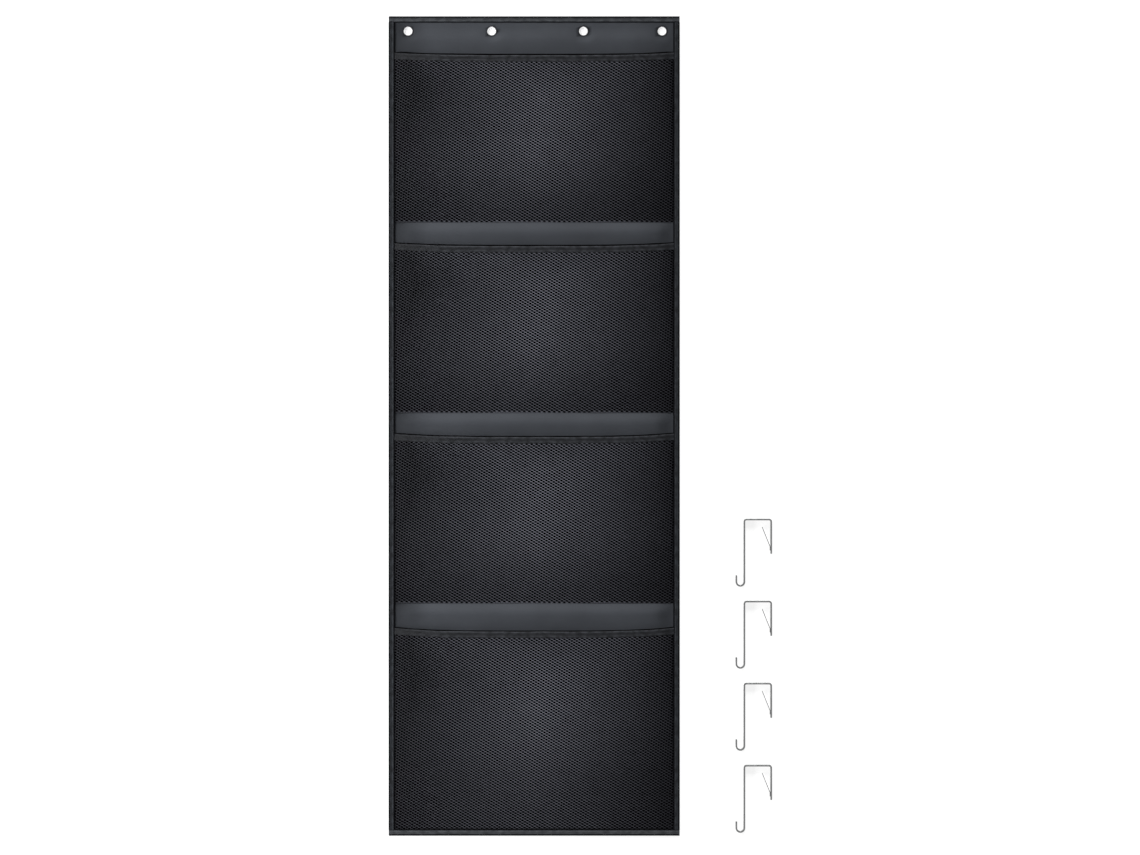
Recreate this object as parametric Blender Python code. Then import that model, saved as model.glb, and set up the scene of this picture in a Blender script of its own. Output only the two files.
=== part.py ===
"""Hanging toy organizer: a cloth panel with four net pockets, and its four over-door hooks.

The panel lies face up on its back. +X runs to its right, +Y to its eyelets, which are at
the top when it hangs, and +Z out of the pockets. The origin is the middle of its back.
The four hooks are off the eyelets and lie on their sides in a column beside it.
All lengths are in metres.
"""

import math
from dataclasses import dataclass

import bmesh
import bpy
from mathutils import Matrix, Vector

# The panel over its edge tapes, and the fit between pieces that touch
PANEL_WIDTH = 0.420
PANEL_HEIGHT = 1.182
FIT_GAP = 0.0003
CUT_OVERRUN = 0.002

# Panel cloth, thinned where the edge tape is sewn over it
PANEL_EDGE_THICKNESS = 0.0008

# Edge tape, folded over the panel's edge, with two soft lengthwise ribs on its face
TAPE_WIDTH = 0.0085
TAPE_THICKNESS = 0.0008
TAPE_FOLD_RADIUS = 0.0006
TAPE_RIB_HEIGHT = 0.00025
TAPE_RIBS = 2
TAPE_RIB_STEPS = 8
TAPE_FOLD_STEPS = 3

# Pockets, from the top down
HEADER_HEIGHT = 0.0572
POCKET_DEPTH = 0.2400
BAND_HEIGHTS = {"upper": 0.0348, "middle": 0.0348, "lower": 0.0400}
MOUTH_RISE = 0.0048
MOUTH_RISE_POWER = 4

# Net of a pocket, with coarser gaps than its fine knit
NET_THICKNESS = 0.0008
NET_BULGE = 0.016
NET_MOUTH_BULGE = 0.0136
NET_CROWN_POWER = 4
NET_CROWN_ROUNDING = 0.75
NET_SEAM_STRIP = 0.004
NET_SIDE_STRIP = 0.0115
NET_GAP_SHARE = 0.62
NET_COLUMNS = 16
NET_ROWS = 10
LAST_NET_ROWS = 12

# Hem tape, folded over the top edge of a net
HEM_HEIGHT = 0.0094
HEM_THICKNESS = 0.0005
HEM_FOLD_STEPS = 4

# Eyelet and the washer that it is clinched to behind the cloth
EYELET_DROP = 0.0216
EYELET_PLACE_SHARES = (-0.865, -0.291, 0.339, 0.879)
EYELET_RADIUS = 0.00665
EYELET_HOLE_RADIUS = 0.0040
EYELET_WALL = 0.0006
EYELET_FLARE = 0.0006
EYELET_FLANGE_THICKNESS = 0.0008
EYELET_LIP = 0.0004
EYELET_SEGMENTS = 24
WASHER_RADIUS = 0.0062
WASHER_THICKNESS = 0.0006
WASHER_LIFT = 0.0001

# Over-door hook of flat strap, lying on its side
STRAP_WIDTH = 0.0070
STRAP_THICKNESS = 0.0024
STRAP_CHAMFER = 0.0003
HOOK_HEIGHT = 0.098
DOOR_GAP = 0.0363
SADDLE_RADIUS = 0.0020
BACK_LEG_LENGTH = 0.0505
CUP_OPENING = 0.0092
CUP_TIP_HEIGHT = 0.0163
BEND_STEPS = 5
HOOK_COUNT = 4
HOOK_PITCH = 0.1183
FIRST_HOOK_DROP = 0.7246
HOOK_COLUMN_GAP = 0.0931

# Leaf spring welded by its foot inside the back leg, which takes up the play on a door
SPRING_LENGTH = 0.0294
SPRING_WIDTH = 0.0050
SPRING_THICKNESS = 0.0008
SPRING_CHAMFER = 0.0001
SPRING_LEAN = math.radians(21.9)
SPRING_ROOT_HEIGHT = 0.0110
SPRING_FOOT_LENGTH = 0.0060

# Levels above the floor, from the stack of layers in the edge tape
PANEL_EDGE_BACK = TAPE_THICKNESS + FIT_GAP
PANEL_FRONT = PANEL_EDGE_BACK + PANEL_EDGE_THICKNESS
NET_BACK = PANEL_FRONT + FIT_GAP
TAPE_TOP_ON_CLOTH = PANEL_FRONT + FIT_GAP + TAPE_THICKNESS
TAPE_TOP_ON_NET = NET_BACK + NET_THICKNESS + FIT_GAP + TAPE_THICKNESS

# Half sizes of what the tape covers and of what it leaves clear
HALF_WIDTH = PANEL_WIDTH / 2
HALF_HEIGHT = PANEL_HEIGHT / 2
COVERED_HALF_WIDTH = HALF_WIDTH - TAPE_THICKNESS - FIT_GAP
COVERED_HALF_HEIGHT = HALF_HEIGHT - TAPE_THICKNESS - FIT_GAP
CLEAR_HALF_WIDTH = HALF_WIDTH - TAPE_WIDTH - FIT_GAP
CLEAR_HALF_HEIGHT = HALF_HEIGHT - TAPE_WIDTH - FIT_GAP


@dataclass(frozen=True)
class Pocket:
    """One net pocket: its mouth and foot lines along Y, and how many rows of gaps it has."""

    number: int
    mouth: float
    foot: float
    bulge_start: float
    rows: int


# Materials


def make_material(name, colour, roughness, metallic=0.0):
    """A plain Principled material, with a linear colour."""
    material = bpy.data.materials.new(name)
    material.use_nodes = True
    shader = material.node_tree.nodes["Principled BSDF"]
    shader.inputs["Base Color"].default_value = (*colour, 1.0)
    shader.inputs["Roughness"].default_value = roughness
    shader.inputs["Metallic"].default_value = metallic
    return material


# Mesh helpers


def add_object(name, mesh, material, place=(0, 0, 0)):
    """Put a mesh in the scene under a name, at a place."""
    mesh.materials.clear()
    mesh.materials.append(material)
    body = bpy.data.objects.new(name, mesh)
    body.location = place
    bpy.context.collection.objects.link(body)
    return body


def finish_mesh(name, bm, smooth_angle):
    """Close a bmesh into a mesh with outward normals, smooth below an angle."""
    bmesh.ops.recalc_face_normals(bm, faces=bm.faces[:])
    mesh = bpy.data.meshes.new(name)
    bm.to_mesh(mesh)
    bm.free()
    if smooth_angle:
        mesh.shade_smooth()
        mesh.set_sharp_from_angle(angle=math.radians(smooth_angle))
    return mesh


def loft(name, rings, joined=False, smooth_angle=0):
    """Skin closed rings of like point counts; the ends are capped unless the rings join up."""
    bm = bmesh.new()
    loops = [[bm.verts.new(point) for point in ring] for ring in rings]
    count = len(rings[0])
    pairs = list(zip(loops, loops[1:]))
    if joined:
        pairs.append((loops[-1], loops[0]))
    else:
        bm.faces.new(loops[0])
        bm.faces.new(loops[-1])
    for near, far in pairs:
        for k in range(count):
            following = (k + 1) % count
            bm.faces.new((near[k], near[following], far[following], far[k]))
    return finish_mesh(name, bm, smooth_angle)


def turn(name, section, joined, smooth_angle=0):
    """Turn a section of (radius, height) points about Z.

    A joined section is a closed ring section; any other runs from face to face of a stepped
    plug and is capped at both ends.
    """
    angles = [2 * math.pi * k / EYELET_SEGMENTS for k in range(EYELET_SEGMENTS)]
    rings = [
        [(radius * math.cos(a), radius * math.sin(a), height) for a in angles]
        for radius, height in section
    ]
    return loft(name, rings, joined=joined, smooth_angle=smooth_angle)


def fold_points(centre, radius, start, end, steps):
    """Points of a rounded corner about a centre, from one angle to another in degrees."""
    turns = [math.radians(start + (end - start) * k / steps) for k in range(steps + 1)]
    return [(centre[0] + radius * math.cos(a), centre[1] + radius * math.sin(a)) for a in turns]


# Panel and edge tapes


def rectangle(half_width, half_height, level):
    """The four corners of a centred rectangle at a level."""
    return [
        (-half_width, -half_height, level),
        (half_width, -half_height, level),
        (half_width, half_height, level),
        (-half_width, half_height, level),
    ]


def eyelet_places():
    """Middles of the eyelets across the header."""
    return [(share * HALF_WIDTH, HALF_HEIGHT - EYELET_DROP, 0) for share in EYELET_PLACE_SHARES]


def make_panel(cloth):
    """The back panel, thinned under the tapes and let in for the eyelets and their washers."""
    mesh = loft(
        "back_panel",
        [
            rectangle(COVERED_HALF_WIDTH, COVERED_HALF_HEIGHT, PANEL_FRONT),
            rectangle(COVERED_HALF_WIDTH, COVERED_HALF_HEIGHT, PANEL_EDGE_BACK),
            rectangle(CLEAR_HALF_WIDTH, CLEAR_HALF_HEIGHT, PANEL_EDGE_BACK),
            rectangle(CLEAR_HALF_WIDTH, CLEAR_HALF_HEIGHT, 0),
        ],
    )
    panel = add_object("back_panel", mesh, cloth)
    barrel_room = EYELET_HOLE_RADIUS + EYELET_WALL + FIT_GAP
    washer_room = WASHER_RADIUS + FIT_GAP
    washer_ceiling = WASHER_LIFT + WASHER_THICKNESS + FIT_GAP
    section = [
        (washer_room, -CUT_OVERRUN),
        (washer_room, washer_ceiling),
        (barrel_room, washer_ceiling),
        (barrel_room, PANEL_FRONT + CUT_OVERRUN),
    ]
    cutter_mesh = turn("eyelet_cutter", section, joined=False)
    for number, place in enumerate(eyelet_places(), 1):
        cutter = add_object(f"eyelet_cutter_{number}", cutter_mesh, cloth, place)
        cutter.hide_render = True
        cutter.display_type = "WIRE"
        cut = panel.modifiers.new(f"eyelet_hole_{number}", "BOOLEAN")
        cut.operation = "DIFFERENCE"
        cut.solver = "EXACT"
        cut.object = cutter
    return panel


def tape_section(top):
    """Section of an edge tape: distance in from the panel's edge, and level."""
    face = top - TAPE_RIB_HEIGHT
    radius = TAPE_FOLD_RADIUS
    section = [(TAPE_WIDTH, TAPE_THICKNESS), (TAPE_WIDTH, 0)]
    section += fold_points((radius, radius), radius, 270, 180, TAPE_FOLD_STEPS)
    section += fold_points((radius, face - radius), radius, 180, 90, TAPE_FOLD_STEPS)
    ribbed = TAPE_WIDTH - radius
    for step in range(1, TAPE_RIB_STEPS + 1):
        share = step / TAPE_RIB_STEPS
        swell = math.sin(math.pi * TAPE_RIBS * share) ** 2
        section.append((radius + ribbed * share, face + TAPE_RIB_HEIGHT * swell))
    section.append((TAPE_WIDTH, top - TAPE_THICKNESS))
    section.append((TAPE_THICKNESS, top - TAPE_THICKNESS))
    section.append((TAPE_THICKNESS, TAPE_THICKNESS))
    return section


def make_tapes(tape):
    """Four edge tapes: the top and bottom ones run right across, the side ones between them."""
    over_cloth = tape_section(TAPE_TOP_ON_CLOTH)
    over_net = tape_section(TAPE_TOP_ON_NET)
    for side, section, sign in (("top", over_cloth, 1), ("bottom", over_net, -1)):
        rings = [
            [(x, sign * (HALF_HEIGHT - inward), level) for inward, level in section]
            for x in (-HALF_WIDTH, HALF_WIDTH)
        ]
        name = f"edge_binding_{side}"
        add_object(name, loft(name, rings, smooth_angle=40), tape)
    for side, sign in (("left", -1), ("right", 1)):
        rings = [
            [(sign * (HALF_WIDTH - inward), y, level) for inward, level in over_net]
            for y in (-CLEAR_HALF_HEIGHT, CLEAR_HALF_HEIGHT)
        ]
        name = f"edge_binding_{side}"
        add_object(name, loft(name, rings, smooth_angle=40), tape)


# Net pockets and their hems


def lay_out_pockets():
    """Places of the four pockets, worked out from the top edge down."""
    pockets = []
    mouth = HALF_HEIGHT - HEADER_HEIGHT
    for number, band in enumerate(BAND_HEIGHTS.values(), 1):
        foot = mouth - POCKET_DEPTH
        pockets.append(Pocket(number, mouth, foot, foot + NET_SEAM_STRIP, NET_ROWS))
        mouth = foot - band
    last = len(pockets) + 1
    pockets.append(Pocket(last, mouth, -COVERED_HALF_HEIGHT, -CLEAR_HALF_HEIGHT, LAST_NET_ROWS))
    return pockets


def mouth_line(pocket, x):
    """Top of the hem, which hangs a little lower in the middle than at the sides."""
    across = min(abs(x) / CLEAR_HALF_WIDTH, 1)
    return pocket.mouth + MOUTH_RISE * across**MOUTH_RISE_POWER


def net_rise(x, share_up):
    """How far the net stands off the panel, across it and from its foot (0) to its mouth (1)."""
    across = min(abs(x) / CLEAR_HALF_WIDTH, 1)
    crown = (1 - across**NET_CROWN_POWER) ** NET_CROWN_ROUNDING
    up = min(max(share_up, 0), 1)
    filling = 1 - (1 - up) ** 3
    drawn_in = (NET_BULGE - NET_MOUTH_BULGE) * up**2
    return crown * filling * (NET_BULGE - drawn_in)


class NetSheet:
    """The flat mesh of one pocket's net, shared point by point and then thickened."""

    def __init__(self, pocket):
        self.pocket = pocket
        self.bm = bmesh.new()
        self.points = {}
        self.half = CLEAR_HALF_WIDTH - NET_SIDE_STRIP

    def column_x(self, column):
        """X of a column of the lattice, whole or between columns."""
        return self.half * (2 * column / NET_COLUMNS - 1)

    def point(self, x, row):
        """The net's point at x on a row: -1 is its foot edge, rows + 1 its top edge."""
        key = (round(x, 6), round(row, 4))
        if key not in self.points:
            pocket = self.pocket
            top = mouth_line(pocket, x) - HEM_THICKNESS - FIT_GAP
            lattice_top = mouth_line(pocket, x) - HEM_HEIGHT
            share_up = row / pocket.rows
            if row < 0:
                y = pocket.foot
            elif row > pocket.rows:
                y = top
            else:
                y = pocket.bulge_start + share_up * (lattice_top - pocket.bulge_start)
            z = NET_BACK + net_rise(x, share_up)
            self.points[key] = self.bm.verts.new((x, y, z))
        return self.points[key]

    def face(self, *corners):
        """A face from (x, row) corners."""
        self.bm.faces.new([self.point(x, row) for x, row in corners])

    def add_gap(self, column, row):
        """A diamond of net about a column and row, with its gap left open."""
        steps = ((-1, 0), (0, -1), (1, 0), (0, 1))
        for (ax, ay), (bx, by) in zip(steps, steps[1:] + steps[:1]):
            corners = []
            for reach, (dx, dy) in ((1, (ax, ay)), (1, (bx, by)), (NET_GAP_SHARE, (bx, by)),
                                    (NET_GAP_SHARE, (ax, ay))):
                corners.append((self.column_x(column + reach * dx), row + reach * dy))
            self.face(*corners)

    def add_lattice(self):
        """The staggered gaps, and the solid half diamonds along the lattice's edges."""
        rows, x = self.pocket.rows, self.column_x
        for column in range(1, NET_COLUMNS):
            for row in range(1, rows):
                if (column + row) % 2:
                    self.add_gap(column, row)
        for column in range(1, NET_COLUMNS, 2):
            self.face((x(column - 1), 0), (x(column + 1), 0), (x(column), 1))
            self.face((x(column - 1), rows), (x(column), rows), (x(column), rows - 1))
            self.face((x(column), rows), (x(column + 1), rows), (x(column), rows - 1))
        for row in range(1, rows, 2):
            self.face((x(0), row - 1), (x(1), row), (x(0), row + 1))
            last = NET_COLUMNS
            self.face((x(last), row - 1), (x(last - 1), row), (x(last), row + 1))

    def add_strips(self):
        """The plain strips at the foot, under the hem and under the side tapes."""
        rows, x = self.pocket.rows, self.column_x
        for column in range(0, NET_COLUMNS, 2):
            ends = (x(column), x(column + 2))
            self.face((ends[0], -1), (ends[1], -1), (ends[1], 0), (ends[0], 0))
        for column in range(NET_COLUMNS):
            ends = (x(column), x(column + 1))
            self.face((ends[0], rows), (ends[1], rows), (ends[1], rows + 1), (ends[0], rows + 1))
        levels = [-1, *range(0, rows + 1, 2), rows + 1]
        for low, high in zip(levels, levels[1:]):
            for sign in (-1, 1):
                edges = (sign * self.half, sign * CLEAR_HALF_WIDTH, sign * COVERED_HALF_WIDTH)
                for near, far in zip(edges, edges[1:]):
                    self.face((near, low), (far, low), (far, high), (near, high))

    def thickened(self, name):
        """The sheet given the net's thickness, as a closed mesh."""
        sheet = bmesh.ops.extrude_face_region(self.bm, geom=self.bm.faces[:])["geom"]
        lifted = [item for item in sheet if isinstance(item, bmesh.types.BMVert)]
        bmesh.ops.translate(self.bm, vec=(0, 0, NET_THICKNESS), verts=lifted)
        return finish_mesh(name, self.bm, smooth_angle=50)


def hem_section():
    """Section of a hem tape about the net's top edge: distance up from that edge, and level."""
    outer = HEM_THICKNESS + FIT_GAP
    low = outer - HEM_HEIGHT
    middle = NET_THICKNESS / 2
    round_out = middle + outer
    fold = [
        (outer * math.cos(a), middle + round_out * math.sin(a))
        for a in (math.pi * (k / HEM_FOLD_STEPS - 0.5) for k in range(HEM_FOLD_STEPS + 1))
    ]
    return [
        (low, -outer),
        *fold,
        (low, NET_THICKNESS + outer),
        (low, NET_THICKNESS + FIT_GAP),
        (FIT_GAP, NET_THICKNESS + FIT_GAP),
        (FIT_GAP, -FIT_GAP),
        (low, -FIT_GAP),
    ]


def make_hem(pocket, tape):
    """The hem tape of a pocket, from one end, just clear of the panel, to the other."""
    half = CLEAR_HALF_WIDTH - NET_SIDE_STRIP
    edge_rise = net_rise(half, 1)
    room_under = HEM_THICKNESS + FIT_GAP
    end_half = CLEAR_HALF_WIDTH - NET_SIDE_STRIP * room_under / edge_rise
    inner = [half * (2 * k / NET_COLUMNS - 1) for k in range(NET_COLUMNS + 1)]
    rings = []
    for x in (-end_half, *inner, end_half):
        rise = net_rise(x, 1) if abs(x) <= half else room_under
        edge = mouth_line(pocket, x) - HEM_THICKNESS - FIT_GAP
        level = NET_BACK + rise
        rings.append([(x, edge + up, level + out) for up, out in hem_section()])
    name = f"pocket_hem_{pocket.number}"
    return add_object(name, loft(name, rings, smooth_angle=50), tape)


def make_pockets(net, tape):
    """The four net pockets and their hems."""
    for pocket in lay_out_pockets():
        sheet = NetSheet(pocket)
        sheet.add_lattice()
        sheet.add_strips()
        name = f"mesh_pocket_{pocket.number}"
        add_object(name, sheet.thickened(name), net)
        make_hem(pocket, tape)


# Eyelets


def eyelet_section():
    """Section of an eyelet: flat flange on the cloth, barrel through it and flared end."""
    under = PANEL_FRONT + FIT_GAP
    top = under + EYELET_FLANGE_THICKNESS
    barrel = EYELET_HOLE_RADIUS + EYELET_WALL
    flare_start = WASHER_LIFT + WASHER_THICKNESS
    return [
        (EYELET_HOLE_RADIUS, flare_start),
        (EYELET_HOLE_RADIUS, top - EYELET_LIP),
        (EYELET_HOLE_RADIUS + EYELET_LIP, top),
        (EYELET_RADIUS - EYELET_LIP, top),
        (EYELET_RADIUS, top - EYELET_LIP),
        (EYELET_RADIUS, under),
        (barrel, under),
        (barrel, flare_start),
        (barrel + EYELET_FLARE, WASHER_LIFT),
        (EYELET_HOLE_RADIUS + EYELET_FLARE, WASHER_LIFT),
    ]


def washer_section():
    """Section of a washer, countersunk for the eyelet's flared end."""
    bore = EYELET_HOLE_RADIUS + EYELET_WALL + FIT_GAP
    top = WASHER_LIFT + WASHER_THICKNESS
    return [
        (bore, top),
        (WASHER_RADIUS, top),
        (WASHER_RADIUS, WASHER_LIFT),
        (bore + EYELET_FLARE, WASHER_LIFT),
    ]


def make_eyelets(metal):
    """Four eyelets in front of the header and four washers behind it."""
    eyelet_mesh = turn("eyelet", eyelet_section(), joined=True, smooth_angle=35)
    washer_mesh = turn("eyelet_washer", washer_section(), joined=True, smooth_angle=35)
    for number, place in enumerate(eyelet_places(), 1):
        add_object(f"eyelet_{number}", eyelet_mesh, metal, place)
        add_object(f"eyelet_washer_{number}", washer_mesh, metal, place)


# Hooks and their springs


def strap_route(start, heading, steps):
    """Points and headings along straight runs and round bends; a left bend is positive."""
    place, direction = Vector(start), Vector(heading)
    route = [(place.copy(), direction.copy())]
    for kind, length, angle in steps:
        if kind == "run":
            place = place + direction * length
            route.append((place.copy(), direction.copy()))
            continue
        side = math.copysign(1, angle)
        centre = place + Vector((-direction.y, direction.x)) * length * side
        arm, bend_from = place - centre, direction.copy()
        count = BEND_STEPS * round(abs(angle) / 90)
        for k in range(1, count + 1):
            turned = Matrix.Rotation(math.radians(angle) * k / count, 2)
            direction = turned @ bend_from
            place = centre + turned @ arm
            route.append((place.copy(), direction.copy()))
    return route


def strap_outline(route, half_thickness, end_inset):
    """Both sides of a strap seen edge on, as one closed outline."""
    last = len(route) - 1
    left, right = [], []
    for index, (place, direction) in enumerate(route):
        inset = {0: end_inset, last: -end_inset}.get(index, 0)
        middle = place + direction * inset
        side = Vector((-direction.y, direction.x)) * half_thickness
        left.append(middle + side)
        right.append(middle - side)
    return left + right[::-1]


def strap_mesh(name, route, thickness, bottom, width, chamfer):
    """A strap on its side: its width stands up from a bottom level, with chamfered edges."""
    levels = (
        (bottom, chamfer),
        (bottom + chamfer, 0),
        (bottom + width - chamfer, 0),
        (bottom + width, chamfer),
    )
    rings = []
    for level, inset in levels:
        outline = strap_outline(route, thickness / 2 - inset, inset)
        rings.append([(point.x, point.y, level) for point in outline])
    return loft(name, rings, smooth_angle=35)


def hook_route():
    """Middle line of a hook's strap, from the cup's tip to the back leg's end."""
    half = STRAP_THICKNESS / 2
    cup_radius = (CUP_OPENING + STRAP_THICKNESS) / 2
    saddle_radius = SADDLE_RADIUS + half
    bridge = DOOR_GAP + STRAP_THICKNESS - 2 * saddle_radius
    front_leg = HOOK_HEIGHT - 2 * half - cup_radius - saddle_radius
    return strap_route(
        (-2 * cup_radius, CUP_TIP_HEIGHT),
        (0, -1),
        (
            ("run", CUP_TIP_HEIGHT - half - cup_radius, 0),
            ("bend", cup_radius, 180),
            ("run", front_leg, 0),
            ("bend", saddle_radius, -90),
            ("run", bridge, 0),
            ("bend", saddle_radius, -90),
            ("run", BACK_LEG_LENGTH - half - saddle_radius, 0),
        ),
    )


def spring_root():
    """Where the leaf leaves the back leg, in the hook's own frame."""
    leg_face = DOOR_GAP + STRAP_THICKNESS / 2
    x = leg_face - FIT_GAP - SPRING_THICKNESS / 2
    return x, HOOK_HEIGHT - BACK_LEG_LENGTH + SPRING_ROOT_HEIGHT


def foot_mesh():
    """The spring's welded foot, sunk halfway into the back leg that it is joined to."""
    root_x, root_y = spring_root()
    leg_face = DOOR_GAP + STRAP_THICKNESS / 2
    middle = leg_face + (STRAP_THICKNESS / 2 - SPRING_THICKNESS) / 2
    thickness = SPRING_THICKNESS + STRAP_THICKNESS / 2
    top = root_y - FIT_GAP - SPRING_THICKNESS / 2
    route = strap_route((middle, top), (0, -1), (("run", SPRING_FOOT_LENGTH, 0),))
    bottom = (STRAP_WIDTH - SPRING_WIDTH) / 2
    return strap_mesh("spring_foot", route, thickness, bottom, SPRING_WIDTH, SPRING_CHAMFER)


def spring_mesh():
    """The leaf, leaning into the door gap, with its root on the joint's axis."""
    heading = (-math.sin(SPRING_LEAN), math.cos(SPRING_LEAN))
    route = strap_route((0, 0), heading, (("run", SPRING_LENGTH, 0),))
    bottom = (STRAP_WIDTH - SPRING_WIDTH) / 2
    return strap_mesh(
        "hook_spring", route, SPRING_THICKNESS, bottom, SPRING_WIDTH, SPRING_CHAMFER
    )


def make_hooks(metal):
    """Four hooks in a column beside the panel, each with its welded foot and its leaf."""
    hook = strap_mesh(
        "hook", hook_route(), STRAP_THICKNESS, 0, STRAP_WIDTH, STRAP_CHAMFER
    )
    foot = foot_mesh()
    leaf = spring_mesh()
    root_x, root_y = spring_root()
    x = HALF_WIDTH + HOOK_COLUMN_GAP
    for number in range(1, HOOK_COUNT + 1):
        top = HALF_HEIGHT - FIRST_HOOK_DROP - (number - 1) * HOOK_PITCH
        bottom = top - HOOK_HEIGHT
        body = add_object(f"hook_{number}", hook, metal, (x, bottom, 0))
        pad = add_object(f"spring_foot_{number}", foot, metal, (x, bottom, 0))
        pad.hide_render = True
        pad.display_type = "WIRE"
        weld = body.modifiers.new("spring_foot", "BOOLEAN")
        weld.operation = "UNION"
        weld.solver = "EXACT"
        weld.object = pad
        add_object(f"hook_spring_{number}", leaf, metal, (x + root_x, bottom + root_y, 0))


def clear_scene():
    """Take out whatever the scene starts with."""
    for item in list(bpy.data.objects):
        bpy.data.objects.remove(item, do_unlink=True)


def main():
    """Build the organizer and its hooks."""
    clear_scene()
    cloth = make_material("slate_cloth", (0.063, 0.068, 0.078), 0.85)
    tape = make_material("black_tape", (0.028, 0.030, 0.033), 0.70)
    net = make_material("charcoal_net", (0.034, 0.035, 0.040), 0.80)
    eyelet_metal = make_material("bright_nickel", (0.75, 0.76, 0.77), 0.25, metallic=1.0)
    hook_metal = make_material("plain_steel", (0.45, 0.45, 0.46), 0.40, metallic=1.0)
    make_panel(cloth)
    make_tapes(tape)
    make_pockets(net, tape)
    make_eyelets(eyelet_metal)
    make_hooks(hook_metal)


main()
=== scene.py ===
"""Looks of the hanging toy organizer: cloth, tape, nets, hems, thread, eyelets and hooks.

The organizer lies face up on the floor with its four hooks beside it. +X runs to its right,
+Y to its eyelets and +Z out of its pockets. Lengths are in metres.
"""

from __future__ import annotations

import functools
import itertools
import logging
import math
from dataclasses import dataclass
from enum import Enum
from typing import Callable, Sequence

import bmesh
import bpy
from mathutils import Matrix, Vector


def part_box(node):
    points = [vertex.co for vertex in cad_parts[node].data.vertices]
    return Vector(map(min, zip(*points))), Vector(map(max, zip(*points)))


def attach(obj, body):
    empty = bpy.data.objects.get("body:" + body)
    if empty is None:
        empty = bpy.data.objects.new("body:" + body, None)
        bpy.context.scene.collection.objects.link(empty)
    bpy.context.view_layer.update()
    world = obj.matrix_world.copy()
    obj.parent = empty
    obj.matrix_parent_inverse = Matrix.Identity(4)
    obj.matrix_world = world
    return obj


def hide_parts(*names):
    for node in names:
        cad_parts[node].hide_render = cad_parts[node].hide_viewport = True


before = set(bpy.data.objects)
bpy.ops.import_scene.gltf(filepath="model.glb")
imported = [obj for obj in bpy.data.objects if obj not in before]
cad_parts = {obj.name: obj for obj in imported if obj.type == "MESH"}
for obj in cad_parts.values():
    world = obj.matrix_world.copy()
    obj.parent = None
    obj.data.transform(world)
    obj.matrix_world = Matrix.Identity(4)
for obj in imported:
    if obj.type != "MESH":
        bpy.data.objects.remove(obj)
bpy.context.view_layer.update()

log = logging.getLogger("organizer")

Pair = tuple[float, float]
Point = tuple[float, float, float]
Faces = list[tuple[int, ...]]
Stops = tuple[Pair, ...]
Piece = bpy.types.Object
Material = bpy.types.Material
Socket = bpy.types.NodeSocket

ORGANIZER = "organizer"
POCKET_COUNT = 4
EYELET_COUNT = 4
HOOK_COUNT = 4

# The Mix node's inputs and output for colours
MIX_COLOURS = (6, 7)
MIXED_COLOUR = 2
# A wave texture's scale for one band in a unit of length
ONE_BAND = math.pi / 10
# Each wave of a ripple: its height, its turns across and along, and its share of the phase
RIPPLE_WAVES = ((0.45, 0.83, 0.41, 1.0), (0.38, -0.4932, 0.7809, 2.1), (0.17, 1.9, 0.7, 0.6))


class Side(Enum):
    """The four edges of the panel, by the way each faces."""

    TOP = (0, 1)
    BOTTOM = (0, -1)
    LEFT = (-1, 0)
    RIGHT = (1, 0)


class Slot(Enum):
    """The record's material slots."""

    CLOTH = "cloth"
    TAPE = "tape"
    NET = "net"
    EYELET = "eyelet"
    HOOK = "hook"


# Shapes shared by the pieces


def share_between(low: float, high: float, value: float) -> float:
    """How far a value has come from low, 0, to high, 1."""
    return min(max((value - low) / (high - low), 0.0), 1.0)


def smoothstep(low: float, high: float, value: float) -> float:
    """A smooth rise from 0 at low to 1 at high."""
    share = share_between(low, high, value)
    return share * share * (3 - 2 * share)


def ripple(x: float, y: float, wavelength: float, phase: float) -> float:
    """A soft uneven wave over cloth, between about -1 and 1, unlike for each phase."""
    turn = math.tau / wavelength
    return sum(high * math.sin(turn * (a * x + b * y) + shift * phase) for high, a, b, shift in RIPPLE_WAVES)


def arc(centre: Pair, radius: float, start: float, end: float, steps: int) -> list[Pair]:
    """Points of a section's round corner, in so many steps from one angle in degrees to another."""
    angles = [math.radians(start + (end - start) * k / steps) for k in range(steps + 1)]
    return [(centre[0] + radius * math.cos(a), centre[1] + radius * math.sin(a)) for a in angles]


def tube_faces(rows: int, count: int) -> Faces:
    """Faces of a tube with closed ends.

    Args:
        rows: Rows of points along the tube.
        count: Points round the tube in each row.

    Returns:
        The faces, as point numbers.
    """
    faces = []
    for row, k in itertools.product(range(rows - 1), range(count)):
        near, after = row * count, (k + 1) % count
        faces.append((near + k, near + after, near + count + after, near + count + k))
    last = (rows - 1) * count
    return faces + [tuple(reversed(range(count))), tuple(range(last, last + count))]


def link_mesh(name: str, points: Sequence[Point], faces: Faces) -> Piece:
    """Put a mesh of points and faces in the scene, shaded smooth.

    Args:
        name: The piece's name.
        points: Its points, in the frame's own place.
        faces: Its faces, as point numbers.

    Returns:
        The new piece, at the origin.
    """
    mesh = bpy.data.meshes.new(name)
    mesh.from_pydata(points, [], faces)
    mesh.validate()
    mesh.shade_smooth()
    piece = bpy.data.objects.new(name, mesh)
    bpy.context.collection.objects.link(piece)
    return piece


def mark(piece: Piece, name: str, values: Sequence[float]) -> None:
    """Write one number on each of a piece's points, for its finish to read."""
    layer = piece.data.attributes.new(name, "FLOAT", "POINT")
    layer.data.foreach_set("value", values)


def face_outwards(piece: Piece) -> None:
    """Turn a closed mesh's faces outwards.

    Args:
        piece: The piece to mend.
    """
    bm = bmesh.new()
    bm.from_mesh(piece.data)
    bmesh.ops.recalc_face_normals(bm, faces=bm.faces[:])
    bm.to_mesh(piece.data)
    bm.free()


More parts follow.
